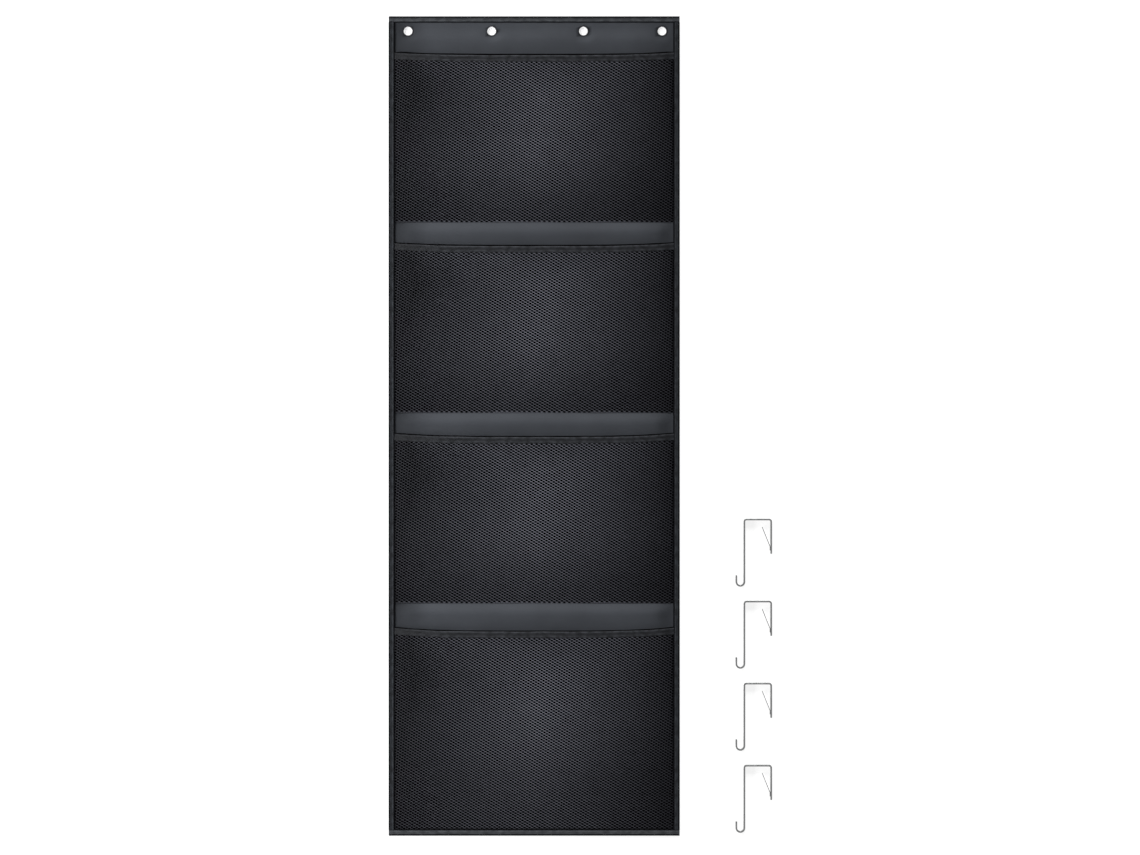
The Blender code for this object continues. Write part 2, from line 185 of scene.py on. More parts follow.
def skin_rings(name: str, rings: Sequence[Sequence[Point]], runs: Sequence[float]) -> Piece:
    """Skin closed rings into a strip with its own UV map: length along, girth around.

    Args:
        name: The piece's name.
        rings: Closed rings of like point counts.
        runs: Distance along the piece at each ring, for the UV map.

    Returns:
        The skinned piece, closed at both ends.
    """
    first, count = rings[0], len(rings[0])
    piece = link_mesh(name, [point for ring in rings for point in ring], tube_faces(len(rings), count))
    steps = [math.dist(near, far) for near, far in zip(first, [*first[1:], first[0]])]
    girths = [0.0, *itertools.accumulate(steps)]
    layer = piece.data.uv_layers.new(name="strip").data
    for face in piece.data.polygons:
        corners = [piece.data.loops[i].vertex_index for i in face.loop_indices]
        around = [corner % count for corner in corners]
        wraps = len(corners) == 4 and max(around) - min(around) > 1
        for i, corner, k in zip(face.loop_indices, corners, around):
            layer[i].uv = (runs[corner // count], girths[count if wraps and k == 0 else k])
    face_outwards(piece)
    return piece


def sharpen(piece: Piece, degrees: float) -> None:
    """Keep edges past an angle crisp under smooth shading."""
    piece.data.set_sharp_from_angle(angle=math.radians(degrees))


def pick_alone(piece: Piece) -> None:
    """Make a piece the active and only selected one.

    Args:
        piece: The piece to work on.
    """
    bpy.ops.object.select_all(action="DESELECT")
    bpy.context.view_layer.objects.active = piece
    piece.select_set(True)


def apply_modifiers(piece: Piece) -> None:
    """Apply every modifier on a piece, in order.

    Args:
        piece: The piece to finish.
    """
    pick_alone(piece)
    for modifier in list(piece.modifiers):
        bpy.ops.object.modifier_apply(modifier=modifier.name)


def dress(piece: Piece, material: Material, body: str, node: str = "") -> None:
    """Give a piece its finish, let it ride on its body, and hide the CAD node it stands for.

    Args:
        piece: The finished piece.
        material: Its finish.
        body: The body that carries it.
        node: The CAD node that it stands for, if it stands for one.
    """
    piece.data.materials.clear()
    piece.data.materials.append(material)
    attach(piece, body)
    if node:
        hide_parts(node)


# Finishes


class Graph:
    """The nodes of a material or of the surround, with short calls to add, set and join them."""

    def __init__(self, holder: Material | bpy.types.World, shader: str = "Principled BSDF") -> None:
        """Start from nodes that hold only a shader and its output.

        Args:
            holder: The material or surround.
            shader: The name of its shader node.
        """
        self.holder = holder
        holder.use_nodes = True
        self.tree = holder.node_tree
        self.shader = self.tree.nodes[shader]

    def add(self, kind: str, settings: dict[str, object] | None = None, **inputs: object) -> bpy.types.Node:
        """Add a node.

        Args:
            kind: The node's type.
            settings: Its own properties, by name.
            inputs: Values or sockets for its inputs; an underscore stands for a space.

        Returns:
            The new node.
        """
        node = self.tree.nodes.new(kind)
        for key, value in (settings or {}).items():
            setattr(node, key, value)
        self.fit(node, **inputs)
        return node

    def fit(self, node: bpy.types.Node, **inputs: object) -> None:
        """Set or join some of a node's inputs; an underscore in a name stands for a space."""
        for key, value in inputs.items():
            self.feed(node, key.replace("_", " "), value)

    def feed(self, node: bpy.types.Node, name: str | int, value: object) -> None:
        """Set one input of a node, or join a socket to it.

        Args:
            node: The node.
            name: The input's name or number.
            value: The value or socket.
        """
        if isinstance(value, Socket):
            self.tree.links.new(value, node.inputs[name])
        else:
            node.inputs[name].default_value = value

    def maths(self, operation: str, *values: object) -> Socket:
        """A Math node's result.

        Args:
            operation: What the node does.
            values: Its numbers or sockets.

        Returns:
            The result.
        """
        node = self.add("ShaderNodeMath", {"operation": operation})
        for index, value in enumerate(values):
            self.feed(node, index, value)
        return node.outputs[0]

    def product(self, *values: object) -> Socket:
        """All the values multiplied."""
        return functools.reduce(functools.partial(self.maths, "MULTIPLY"), values)

    def blend(self, share: float, first: Socket, second: Socket) -> Socket:
        """A share of the first value with the rest of the second."""
        return self.maths("ADD", self.product(first, share), self.product(second, 1 - share))

    def rest(self, value: Socket) -> Socket:
        """What is left of 1."""
        return self.maths("SUBTRACT", 1.0, value)

    def mix(self, share: Socket, *tones: Socket | Point) -> Socket:
        """A colour mixed from two by a share.

        Args:
            share: How much of the second there is.
            tones: The two colours, as sockets or as plain numbers.

        Returns:
            The mixed colour.
        """
        node = self.add("ShaderNodeMix", {"data_type": "RGBA"})
        self.feed(node, 0, share)
        for index, tone in zip(MIX_COLOURS, tones):
            self.feed(node, index, tone if isinstance(tone, Socket) else (*tone, 1))
        return node.outputs[MIXED_COLOUR]

    def place(self) -> Socket:
        """Object coordinates."""
        return self.add("ShaderNodeTexCoord").outputs["Object"]

    def strip(self) -> Socket:
        """The strip's own UV map, in metres."""
        return self.add("ShaderNodeUVMap", {"uv_map": "strip"}).outputs["UV"]

    def marked(self, name: str) -> Socket:
        """A number written on the piece's points."""
        return self.add("ShaderNodeAttribute", {"attribute_name": name}).outputs["Fac"]

    def noise(self, vector: Socket, scale: float | Point, detail: float = 2.0) -> Socket:
        """Noise from 0 to 1.

        Args:
            vector: The coordinates.
            scale: How fine it is, alike on every axis or one number for each.
            detail: How many finer layers it has.

        Returns:
            The noise.
        """
        if isinstance(scale, tuple):
            vector = self.add("ShaderNodeMapping", Vector=vector, Scale=scale).outputs["Vector"]
            scale = 1.0
        return self.add("ShaderNodeTexNoise", Vector=vector, Scale=scale, Detail=detail).outputs["Fac"]

    def bands(self, vector: Socket, in_a_metre: float, direction: str) -> Socket:
        """Soft parallel bands along X, Y, Z or the diagonal, so many in a metre."""
        settings, scale = {"wave_type": "BANDS", "bands_direction": direction}, in_a_metre * ONE_BAND
        return self.add("ShaderNodeTexWave", settings, Vector=vector, Scale=scale).outputs["Fac"]

    def bump(self, height: Socket, distance: float, strength: float) -> None:
        """Bump the shader's normal by a height field."""
        node = self.add("ShaderNodeBump", Height=height, Distance=distance, Strength=strength)
        self.feed(self.shader, "Normal", node.outputs["Normal"])

    def ramp(self, value: Socket, stops: Stops) -> Socket:
        """A value read off a curve of straight stretches.

        Args:
            value: Where on the curve to read, from 0 to 1.
            stops: The curve's (place, level) stops.

        Returns:
            The curve's level there.
        """
        node = self.add("ShaderNodeValToRGB", Fac=value)
        elements = node.color_ramp.elements
        for element, (place, level) in zip(elements, (stops[0], stops[-1])):
            element.position, element.color = place, (level, level, level, 1)
        for place, level in stops[1:-1]:
            elements.new(place).color = (level, level, level, 1)
        return node.outputs["Color"]

    def range(self, value: Socket, low: float, high: float) -> Socket:
        """A 0 to 1 value moved to run from low to high."""
        return self.add("ShaderNodeMapRange", Value=value, To_Min=low, To_Max=high).outputs["Result"]

    def plainly_seen(self) -> Socket:
        """Tell the camera's rays, straight ones or by way of metal or glass, from the others.

        Returns:
            1 for such a ray, or else 0.
        """
        path = self.add("ShaderNodeLightPath").outputs
        rays = (path[f"Is {kind} Ray"] for kind in ("Camera", "Glossy", "Transmission"))
        return functools.reduce(functools.partial(self.maths, "MAXIMUM"), rays)


@dataclass(frozen=True)
class FabricFinish:
    """What every fabric finish has: two tones, a range of roughness, a little gloss, sheen and relief."""

    name: str
    deep: Point
    light: Point
    roughness: Pair
    specular: float
    sheen: float
    sheen_roughness: float
    relief: Pair

    def start(self) -> Graph:
        """A new material's nodes."""
        return Graph(bpy.data.materials.new(self.name))

    def coat(
        self, graph: Graph, colour: Socket, uneven: Socket, weave: Socket, shine: Socket | float
    ) -> Material:
        """Join a fabric's patterns to its shader.

        Args:
            graph: The material's nodes.
            colour: Its colour.
            uneven: What its roughness follows.
            weave: Its relief.
            shine: Its specular level.

        Returns:
            The material.
        """
        graph.fit(
            graph.shader,
            Base_Color=colour,
            Roughness=graph.range(uneven, *self.roughness),
            Specular_IOR_Level=shine,
            Sheen_Weight=self.sheen,
            Sheen_Roughness=self.sheen_roughness,
        )
        graph.bump(weave, *self.relief)
        return graph.holder


@dataclass(frozen=True)
class ClothFinish(FabricFinish):
    """Smooth woven panel cloth, with painted shade: near black inside the pockets, and darker in the creases
    along the tapes, towards the side tapes and in a ring round each eyelet.
    """

    name: str = "slate_cloth"
    deep: Point = (0.0403, 0.0436, 0.050)
    light: Point = (0.0600, 0.0648, 0.0745)
    roughness: Pair = (0.56, 0.70)
    specular: float = 0.08
    sheen: float = 0.02
    sheen_roughness: float = 0.4
    relief: Pair = (0.00006, 0.6)
    # Near-black tone of the painted shade
    painted_shade: Point = (0.0022, 0.0022, 0.0026)
    cloud_scale: float = 22.0
    cloud_detail: float = 3.0
    cloud_share: float = 0.8
    mottle_scale: float = 700.0
    mottle_detail: float = 1.0
    threads_in_a_metre: float = 2400.0

    def make(self) -> Material:
        """The cloth's material.

        Returns:
            The material, near black and matt where the painted shade mark is 1.
        """
        graph = self.start()
        place = graph.place()
        clouds = graph.noise(place, self.cloud_scale, self.cloud_detail)
        mottle = graph.noise(place, self.mottle_scale, self.mottle_detail)
        colour = graph.mix(graph.blend(self.cloud_share, clouds, mottle), self.deep, self.light)
        # Painted shade from the mark: near black and without gloss where it is 1
        painted_shade = graph.marked("painted_shade")
        weave = graph.product(*(graph.bands(place, self.threads_in_a_metre, axis) for axis in "XY"))
        shine = graph.product(graph.rest(painted_shade), self.specular)
        return self.coat(graph, graph.mix(painted_shade, colour, self.painted_shade), mottle, weave, shine)


@dataclass(frozen=True)
class TapeFinish(FabricFinish):
    """Ribbed woven tape. Its tone and gloss run across its width, which the "across" mark gives; its tone
    holds painted highlights on the ribs and painted shade at the folded edge and in the groove along its
    inner edge.
    """

    name: str = "black_tape"
    deep: Point = (0.0045, 0.0050, 0.0060)
    light: Point = (0.031, 0.035, 0.041)
    roughness: Pair = (0.42, 0.60)
    specular: float = 0.10
    sheen: float = 0.02
    sheen_roughness: float = 0.35
    relief: Pair = (0.00012, 0.7)
    # Tone across the width, from the folded outer edge, 0, to the inner edge, 1: painted shade at the fold
    # and in the inner groove, painted highlights on the two ribs
    across: Stops = (
        (0.0, 0.0), (0.20, 0.04), (0.30, 0.58), (0.44, 0.54), (0.52, 0.38),
        (0.64, 0.95), (0.76, 0.80), (0.84, 0.30), (0.90, 0.0), (1.0, 0.0),
    )
    gloss: Stops = ((0.0, 0.0), (0.14, 0.0), (0.30, 1.0), (0.82, 1.0), (0.92, 0.0), (1.0, 0.0))
    blotches: Stops = ((0.36, 0.25), (0.62, 1.0))
    blotch_scale: Point = (110.0, 170.0, 1.0)
    uneven_scale: Point = (90.0, 700.0, 1.0)
    weave_tones: Pair = (0.45, 1.45)
    ribs_in_a_metre: float = 1300.0
    rib_share: float = 0.25

    def make(self) -> Material:
        """The tape's material.

        Returns:
            The material, darker where the "shade" mark is over 0.
        """
        graph = self.start()
        strip, across = graph.strip(), graph.marked("across")
        ribs = graph.bands(strip, self.ribs_in_a_metre, "X")
        uneven = graph.noise(strip, self.uneven_scale)
        tone = graph.product(
            graph.ramp(across, self.across),
            graph.range(graph.blend(self.rib_share, ribs, uneven), *self.weave_tones),
            graph.ramp(graph.noise(strip, self.blotch_scale), self.blotches),
            graph.rest(graph.marked("shade")),
        )
        shine = graph.product(graph.ramp(across, self.gloss), self.specular) if self.gloss else self.specular
        return self.coat(graph, graph.mix(tone, self.deep, self.light), uneven, ribs, shine)


@dataclass(frozen=True)
class EndTapeFinish(TapeFinish):
    """The tape along the panel's top and bottom edges: a lighter copy of the side tape, painted light, with
    its own painted highlights and shade across its width.
    """

    name: str = "end_tape"
    # Painted light: a lighter tone than the side tapes'
    light: Point = (0.072, 0.077, 0.085)
    across: Stops = (
        (0.0, 0.0), (0.22, 0.03), (0.32, 0.55), (0.46, 0.62), (0.60, 0.80),
        (0.74, 0.95), (0.88, 0.85), (0.94, 0.25), (1.0, 0.0),
    )
    blotches: Stops = ((0.34, 0.50), (0.64, 1.0))


@dataclass(frozen=True)
class HemTapeFinish(TapeFinish):
    """The tape of the hems, which is as glossy all over."""

    name: str = "hem_tape"
    light: Point = (0.068, 0.072, 0.082)
    # Tone down from the hem's fold, 0, to its lower edge, 1: painted highlights along the fold and the lower
    # edge, painted shade over the stitched middle
    across: Stops = (
        (0.0, 0.10), (0.05, 0.60), (0.15, 0.56), (0.24, 0.30),
        (0.62, 0.20), (0.72, 0.45), (0.88, 0.46), (1.0, 0.20),
    )
    gloss: Stops = ()


@dataclass(frozen=True)
class NetFinish(FabricFinish):
    """Knitted polyester net, with a painted sheen that is lightest near the middle of each pocket, and
    painted highlights on the strands that would catch the light.
    """

    name: str = "charcoal_net"
    deep: Point = (0.004, 0.004, 0.005)
    light: Point = (0.221, 0.228, 0.270)
    roughness: Pair = (0.36, 0.50)
    specular: float = 0.06
    sheen: float = 0.03
    sheen_roughness: float = 0.3
    relief: Pair = (0.00015, 0.5)
    yarn_in_a_metre: float = 1900.0
    yarn_share: float = 0.3
    yarn_tones: Pair = (0.75, 1.25)
    uneven_scale: float = 60.0
    uneven_detail: float = 3.0

    def make(self) -> Material:
        """The net's material.

        Returns:
            The material, which reads the marks of painted sheen and of painted highlights on the strands.
        """
        graph = self.start()
        place = graph.place()
        yarn = graph.bands(place, self.yarn_in_a_metre, "X")
        uneven = graph.noise(place, self.uneven_scale, self.uneven_detail)
        weave = graph.range(graph.blend(self.yarn_share, yarn, uneven), *self.yarn_tones)
        # Painted sheen over the pocket and painted highlights on the strands, times the yarn's own tone
        tone = graph.product(graph.marked("painted_sheen"), graph.marked("strand_highlight"), weave)
        return self.coat(graph, graph.mix(tone, self.deep, self.light), uneven, yarn, self.specular)


@dataclass(frozen=True)
class ThreadFinish:
    """Twisted sewing thread."""

    name: str = "black_thread"
    deep: Point = (0.010, 0.010, 0.012)
    light: Point = (0.022, 0.022, 0.0264)
    roughness: float = 0.5
    specular: float = 0.15
    twists_in_a_metre: float = 3200.0
    relief: Pair = (0.00005, 0.6)

    def make(self) -> Material:
        """The thread's material.

        Returns:
            The material.
        """
        graph = Graph(bpy.data.materials.new(self.name))
        twist = graph.bands(graph.place(), self.twists_in_a_metre, "DIAGONAL")
        graph.fit(graph.shader, Base_Color=graph.mix(twist, self.deep, self.light))
        graph.fit(graph.shader, Roughness=self.roughness, Specular_IOR_Level=self.specular)
        graph.bump(twist, *self.relief)
        return graph.holder


@dataclass(frozen=True)
class MetalFinish:
    """Bare metal with fine draw lines, a little uneven polish, and painted shade where the "rim" mark is."""

    name: str
    colour: Point
    worn: Point
    roughness: Pair
    # Tone of the painted shade where the "rim" mark is
    rim_shade_tone: Point = (0.10, 0.10, 0.10)
    patch_scale: float = 90.0
    line_scale: Point = (400.0, 400.0, 2500.0)
    line_detail: float = 3.0
    relief: Pair = (0.00002, 0.5)

    def make(self) -> Material:
        """The metal's material.

        Returns:
            The material.
        """
        graph = Graph(bpy.data.materials.new(self.name))
        place = graph.place()
        lines = graph.noise(place, self.line_scale, self.line_detail)
        colour = graph.mix(graph.noise(place, self.patch_scale), self.colour, self.worn)
        # Painted shade at an eyelet's outer rim and on its bore's left side
        colour = graph.mix(graph.marked("rim"), colour, self.rim_shade_tone)
        roughness = graph.range(lines, *self.roughness)
        graph.fit(graph.shader, Base_Color=colour, Metallic=1.0, Roughness=roughness)
        graph.bump(lines, *self.relief)
        return graph.holder


@dataclass(frozen=True)
class FloorFinish:
    """White sweep: plain white to the camera and in reflections, and shaded where the object shades it."""

    name: str = "white_floor"
    colour: Point = (0.35, 0.35, 0.35)
    roughness: float = 0.9
    seen_light: float = 0.845

    def make(self) -> Material:
        """The floor's material.

        Returns:
            The material.
        """
        graph = Graph(bpy.data.materials.new(self.name))
        glow = graph.product(graph.plainly_seen(), self.seen_light)
        graph.fit(graph.shader, Base_Color=(*self.colour, 1), Roughness=self.roughness)
        graph.fit(graph.shader, Emission_Color=(1, 1, 1, 1), Emission_Strength=glow)
        return graph.holder


# The layers, read from the frame


@dataclass(frozen=True)
class Layout:
    """Half sizes and levels of the panel, all from the frame."""

    half_width: float
    half_height: float
    clear_half_width: float
    clear_half_height: float
    edge_back: float
    front: float
    net_level: float
    tape_top: float
    top_tape_top: float
    tape_width: float
    tape_thickness: float

    @staticmethod
    def from_frame() -> Layout:
        """Read the layout from the CAD nodes' boxes.

        Returns:
            The layout.
        """
        left_low, left_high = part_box("edge_binding_left")
        top_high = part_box("edge_binding_top")[1]
        panel_low, panel_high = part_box("back_panel")
        net_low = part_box("mesh_pocket_1")[0]
        half_width, half_height = -left_low.x, top_high.y
        width = left_high.x - left_low.x
        cloth_inset = panel_low.x - left_low.x
        fit = left_low.y + half_height - width
        thickness = cloth_inset - fit
        return Layout(
            half_width=half_width,
            half_height=half_height,
            clear_half_width=half_width - width,
            clear_half_height=half_height - width,
            edge_back=cloth_inset,
            front=panel_high.z,
            net_level=net_low.z + (left_high.z - thickness - fit - net_low.z) / 2,
            tape_top=left_high.z,
            top_tape_top=top_high.z,
            tape_width=width,
            tape_thickness=thickness,
        )

    def from_tape(self, x: float, y: float) -> float:
        """Distance in from the nearest edge tape."""
        return min(self.clear_half_width - abs(x), self.clear_half_height - abs(y))


@dataclass(frozen=True)
class PocketLines:
    """Where one pocket starts and ends, how its net bulges, and where the net's painted sheen is brightest.
    """

    number: int
    layout: Layout
    mouth: float
    foot: float
    hem_height: float = 0.0094
    mouth_rise: float = 0.0048
    # How far the net stands off the panel at its foot and at its mouth, and how round it is
    bulges: Pair = (0.0150, 0.0132)
    crown_power: int = 4
    crown_rounding: float = 0.75
    filling_power: int = 3
    foot_strip: float = 0.004
    # Height and length of its slack waves, how they differ between pockets, and where they are full
    slack_wave: Point = (0.0005, 0.085, 1.7)
    slack_full: float = 0.25
    # The painted sheen: its brightest line at the foot and at the mouth, as shares of the half width, and
    # how it falls off to painted shade at its left and right, and in the middle and at the pocket's ends
    brightest_shares: Pair = (-0.06, 0.12)
    side_losses: Pair = (0.87, 0.82)
    side_powers: Pair = (1.10, 1.70)
    foot_share: float = 0.30
    mouth_share: float = 0.75
    mouth_turn: float = 0.40
    # Painted shade at the foot and in the middle by the mouth, and how far up the painted sheen rises to
    # full
    foot_tone: float = 0.47
    sheen_rise_share: float = 0.45
    last_sheen_rise_share: float = 0.65
    mouth_shade: float = 0.40
    tape_shadow: Pair = (0.0003, 0.0038)

    @staticmethod
    def from_frame(number: int, layout: Layout) -> PocketLines:
        """Read a pocket's lines from its net's and hem's boxes."""
        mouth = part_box(f"pocket_hem_{number}")[0].y + PocketLines.hem_height
        return PocketLines(number, layout, mouth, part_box(f"mesh_pocket_{number}")[0].y)

    def across(self, x: float) -> float:
        """How far x is from the middle, 0, to a side tape, 1, to the crown's power."""
        return share_between(0.0, self.layout.clear_half_width, abs(x)) ** self.crown_power

    def mouth_line(self, x: float) -> float:
        """Top of the hem, a little lower in the middle than at its ends."""
        return self.mouth + self.mouth_rise * self.across(x)

    def tucked(self) -> float:
        """Middle of the hem's ends, which are tucked under the side tapes."""
        return self.mouth + self.mouth_rise - self.hem_height / 2

    def crown(self, x: float) -> float:
        """How full the bulge is at x: 1 in the middle, 0 at the side tapes."""
        return (1 - self.across(x)) ** self.crown_rounding

    def rise(self, x: float, y: float) -> float:
        """How far the net stands off its flat margins at a place.

        Args:
            x: Place across.
            y: Place along.

        Returns:
            The rise.
        """
        bottom = max(self.foot + self.foot_strip, -self.layout.clear_half_height)
        up = share_between(bottom, self.mouth_line(x) - self.hem_height, y)
        by_foot, by_mouth = self.bulges
        filling = (1 - (1 - up) ** self.filling_power) * (by_foot - (by_foot - by_mouth) * up * up)
        height, length, step = self.slack_wave
        slack = height * ripple(x, y, length, step * self.number) * smoothstep(0.0, self.slack_full, up)
        return self.crown(x) * (filling + slack)

    def hem_level(self, x: float) -> float:
        """Level of the hem's middle at x."""
        return self.layout.net_level + self.rise(x, self.mouth_line(x) - self.hem_height)

    def painted_sheen(self, x: float, y: float) -> float:
        """The net's painted sheen at a place: lightest along a line near the middle, with painted shade to
        the sides, at the foot, near the mouth and in a painted shadow by the tapes.

        Args:
            x: Place across.
            y: Place along.

        Returns:
            The tone, from 0 to about 1.
        """
        up = share_between(self.foot, self.mouth_line(x), y)
        by_mouth = smoothstep(self.mouth_share, 1.0, up)
        low, high = self.brightest_shares
        brightest = low + (high - low) * up * (1 - self.mouth_turn * by_mouth)
        aside = x / self.layout.clear_half_width - brightest
        off = min(abs(aside) / (1 - brightest), 1.0)
        middle_power, end_power = self.side_powers
        by_end = by_mouth + 1 - smoothstep(0.0, self.foot_share, up)
        power = middle_power + (end_power - middle_power) * by_end
        across = 1 - self.side_losses[aside > 0] * off**power
        sheen_rise_share = self.last_sheen_rise_share if self.number == POCKET_COUNT else self.sheen_rise_share
        along = self.foot_tone + (1 - self.foot_tone) * smoothstep(0.0, sheen_rise_share, up)
        along -= self.mouth_shade * (1 - off) * by_mouth
        return across * along * smoothstep(*self.tape_shadow, self.layout.from_tape(x, y))


# Cloth pieces


@dataclass
class PanelCloth:
    """The back panel: one cloth with a soft roll below each pocket, and holes for the eyelets."""

    layout: Layout
    pockets: list[PocketLines]
    columns: int = 70
    rows: int = 280
    edge_steps: tuple[float, ...] = (-0.0004, 0.0004, 0.0010, 0.0016, 0.0028, 0.0050, 0.0085)
    least_step: float = 0.0001
    # A bare band rises to its crest and then sinks: height, where the rise starts and ends, and
    # where the fall starts, the length over which it turns, and its slope from there on
    roll: Point = (0.0060, -0.003, 0.0150)
    roll_fall: Point = (0.005, 0.014, 0.12)
    header: Point = (0.0035, 0.0, 0.030)
    header_fall: Point = (0.018, 0.010, 0.045)
    behind_hem: float = 0.030
    hem_cover: float = 0.006
    side_slope: float = 0.026
    uneven_wave: Point = (0.00022, 0.11, 0.4)
    tuck: float = 0.0012
    sharp_angle: float = 50.0
    # Eyelets: the hole's radius, sides and cutter depth, and the dimple and the ring of painted shade round
    # it
    hole_radius: float = 0.0048
    hole_sides: int = 48
    hole_cut: float = 0.02
    eyelet_dimple: Pair = (0.0070, 0.0170)
    eyelet_ring: Pair = (0.0070, 0.0092)
    ring_shade: float = 0.9
    # The painted shade starts above each mouth, as a painted shadow line, by a gap and a lift that differs
    # between pockets
    mouth_gap: float = 0.0014
    mouth_lifts: tuple[float, ...] = (0.0014, 0.0007, 0.0, -0.0007)
    mouth_reach: Pair = (0.004, 0.030)
    mouth_rows: Pair = (-0.0001, 0.0004)
    tone_edge: float = 0.0003
    face_depth: float = 0.0005
    # Painted shade in the creases along the tapes, and towards the left and right side tapes
    crease_shades: Pair = (0.0020, 0.0012)
    side_shades: Pair = (0.54, 0.24)
    side_shade_widths: Pair = (0.060, 0.075)

    def __post_init__(self) -> None:
        """Read the eyelets' middles."""
        boxes = [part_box(f"eyelet_{number}") for number in range(1, EYELET_COUNT + 1)]
        self.eyelets = [(low + high) / 2 for low, high in boxes]

    def from_eyelet(self, x: float, y: float) -> float:
        """Distance to the nearest eyelet's middle."""
        return min(math.hypot(x - centre.x, y - centre.y) for centre in self.eyelets)

    @staticmethod
    def band(down: float, swell: Point, fall: Point) -> float:
        """Height of a bare band's roll.

        Args:
            down: Distance down the band.
            swell: The roll's height, and where its rise starts and ends.
            fall: Where it starts to sink, the length over which it turns, and its slope from there on.

        Returns:
            The height.
        """
        height, low, crest = swell
        start, turn, slope = fall
        past = max(down - start, 0.0)
        fallen = past * past / (2 * turn) if past < turn else past - turn / 2
        return height * smoothstep(low, crest, down) - slope * fallen

    def band_rise(self, y: float) -> float:
        """How far the cloth stands forward in the bare bands: it sinks back behind the next hem.

        Args:
            y: Place along.

        Returns:
            The rise.
        """
        tops = [self.layout.clear_half_height] + [pocket.foot for pocket in self.pockets[:-1]]
        shapes = [(self.header, self.header_fall)] + [(self.roll, self.roll_fall)] * len(tops[1:])
        rise = 0.0
        for top, (swell, fall), pocket in zip(tops, shapes, self.pockets):
            low = pocket.mouth - self.hem_cover
            rise = max(rise, self.band(top - y, swell, fall) * smoothstep(low - self.behind_hem, low, y))
        return rise

    def relief(self, x: float, y: float) -> float:
        """Height of the cloth's face over its flat level.

        Args:
            x: Place across.
            y: Place along.

        Returns:
            The height.
        """
        wave, length, phase = self.uneven_wave
        height = max(wave * ripple(x, y, length, phase) + self.band_rise(y), 0.0)
        height *= smoothstep(0.0, self.side_slope, self.layout.from_tape(x, y))
        if y > self.pockets[0].mouth:
            height *= smoothstep(*self.eyelet_dimple, self.from_eyelet(x, y))
        return height

    def painted_shade(self, x: float, y: float) -> float:
        """Share of the cloth's painted shade: full inside the pockets and in a painted shadow line above
        each mouth, and in the creases along the tapes, towards the side tapes and round each eyelet.

        Args:
            x: Place across.
            y: Place along.

        Returns:
            The share.
        """
        # Painted shade inside each pocket, up to a painted shadow line just above its mouth
        for pocket, lift in zip(self.pockets, self.mouth_lifts):
            over = y - pocket.mouth_line(x) - self.mouth_gap - lift * pocket.crown(x)
            if pocket.foot < y and over < self.tone_edge:
                return min(1.0, 1 - over / self.tone_edge)
        side, end = self.layout.clear_half_width - abs(x), self.layout.clear_half_height - abs(y)
        # Painted shade in the creases along the tapes and towards the side tapes
        crease_shade = 1 - min(smoothstep(0.0, self.crease_shades[0], side), smoothstep(0.0, self.crease_shades[1], end))
        shade = self.side_shades[x > 0] * (1 - smoothstep(0.0, self.side_shade_widths[x > 0], side))
        if y > self.pockets[0].mouth:
            # A ring of painted shade round each eyelet
            ring = 1 - smoothstep(*self.eyelet_ring, self.from_eyelet(x, y))
            crease_shade = max(crease_shade, self.ring_shade * ring)
        return max(crease_shade, shade)

    def place(self, x: float, level: float) -> Pair:
        """Where a point of the cloth's grid lies: near a pocket's mouth it follows the mouth's line.

        Args:
            x: Place across.
            level: The row's own place along.

        Returns:
            The place across and along.
        """
        for pocket in self.pockets:
            near = 1 - smoothstep(*self.mouth_reach, abs(level - pocket.mouth))
            level += near * (pocket.mouth_line(x) - pocket.mouth)
        return x, level

    def grid(self) -> tuple[list[float], list[float]]:
        """Columns and rows of the cloth's grid, closer together where its tone changes.

        Returns:
            The columns' and the rows' places.
        """
        layout = self.layout
        half_x, half_y = layout.half_width - layout.edge_back, layout.half_height - layout.edge_back
        xs = [half_x * (2 * k / self.columns - 1) for k in range(self.columns + 1)]
        ys = [half_y * (2 * k / self.rows - 1) for k in range(self.rows + 1)]
        for step in self.edge_steps:
            xs += [layout.clear_half_width - step, step - layout.clear_half_width]
            ys += [layout.clear_half_height - step, step - layout.clear_half_height]
        for pocket, lift in zip(self.pockets, self.mouth_lifts):
            for start, step in itertools.product((self.mouth_gap, self.mouth_gap + lift), self.mouth_rows):
                ys.append(pocket.mouth + start + step)
            ys += [pocket.foot, pocket.foot + self.tone_edge]
        return self.thinned(xs), self.thinned(ys)

    def thinned(self, places: list[float]) -> list[float]:
        """Places in order, without those that all but coincide.

        Args:
            places: The places, in any order.

        Returns:
            Those that are kept.
        """
        kept: list[float] = []
        for place in sorted(places):
            if not kept or place - kept[-1] > self.least_step:
                kept.append(place)
        return kept

    @staticmethod
    def sheet_faces(across: int, along: int) -> Faces:
        """Faces of a grid's front, back and rim.

        Args:
            across: How many columns it has.
            along: How many rows it has.

        Returns:
            The faces, as point numbers; the back's points follow the front's.
        """
        layer, faces = across * along, []
        for row, column in itertools.product(range(along - 1), range(across - 1)):
            a = row * across + column
            quad = (a, a + 1, a + across + 1, a + across)
            faces += [quad, tuple(layer + k for k in reversed(quad))]
        rim = list(range(across))
        rim += [row * across + across - 1 for row in range(1, along)]
        rim += [(along - 1) * across + k for k in range(across - 2, -1, -1)]
        rim += [row * across for row in range(along - 2, 0, -1)]
        return faces + [(b, a, layer + a, layer + b) for a, b in zip(rim, rim[1:] + rim[:1])]

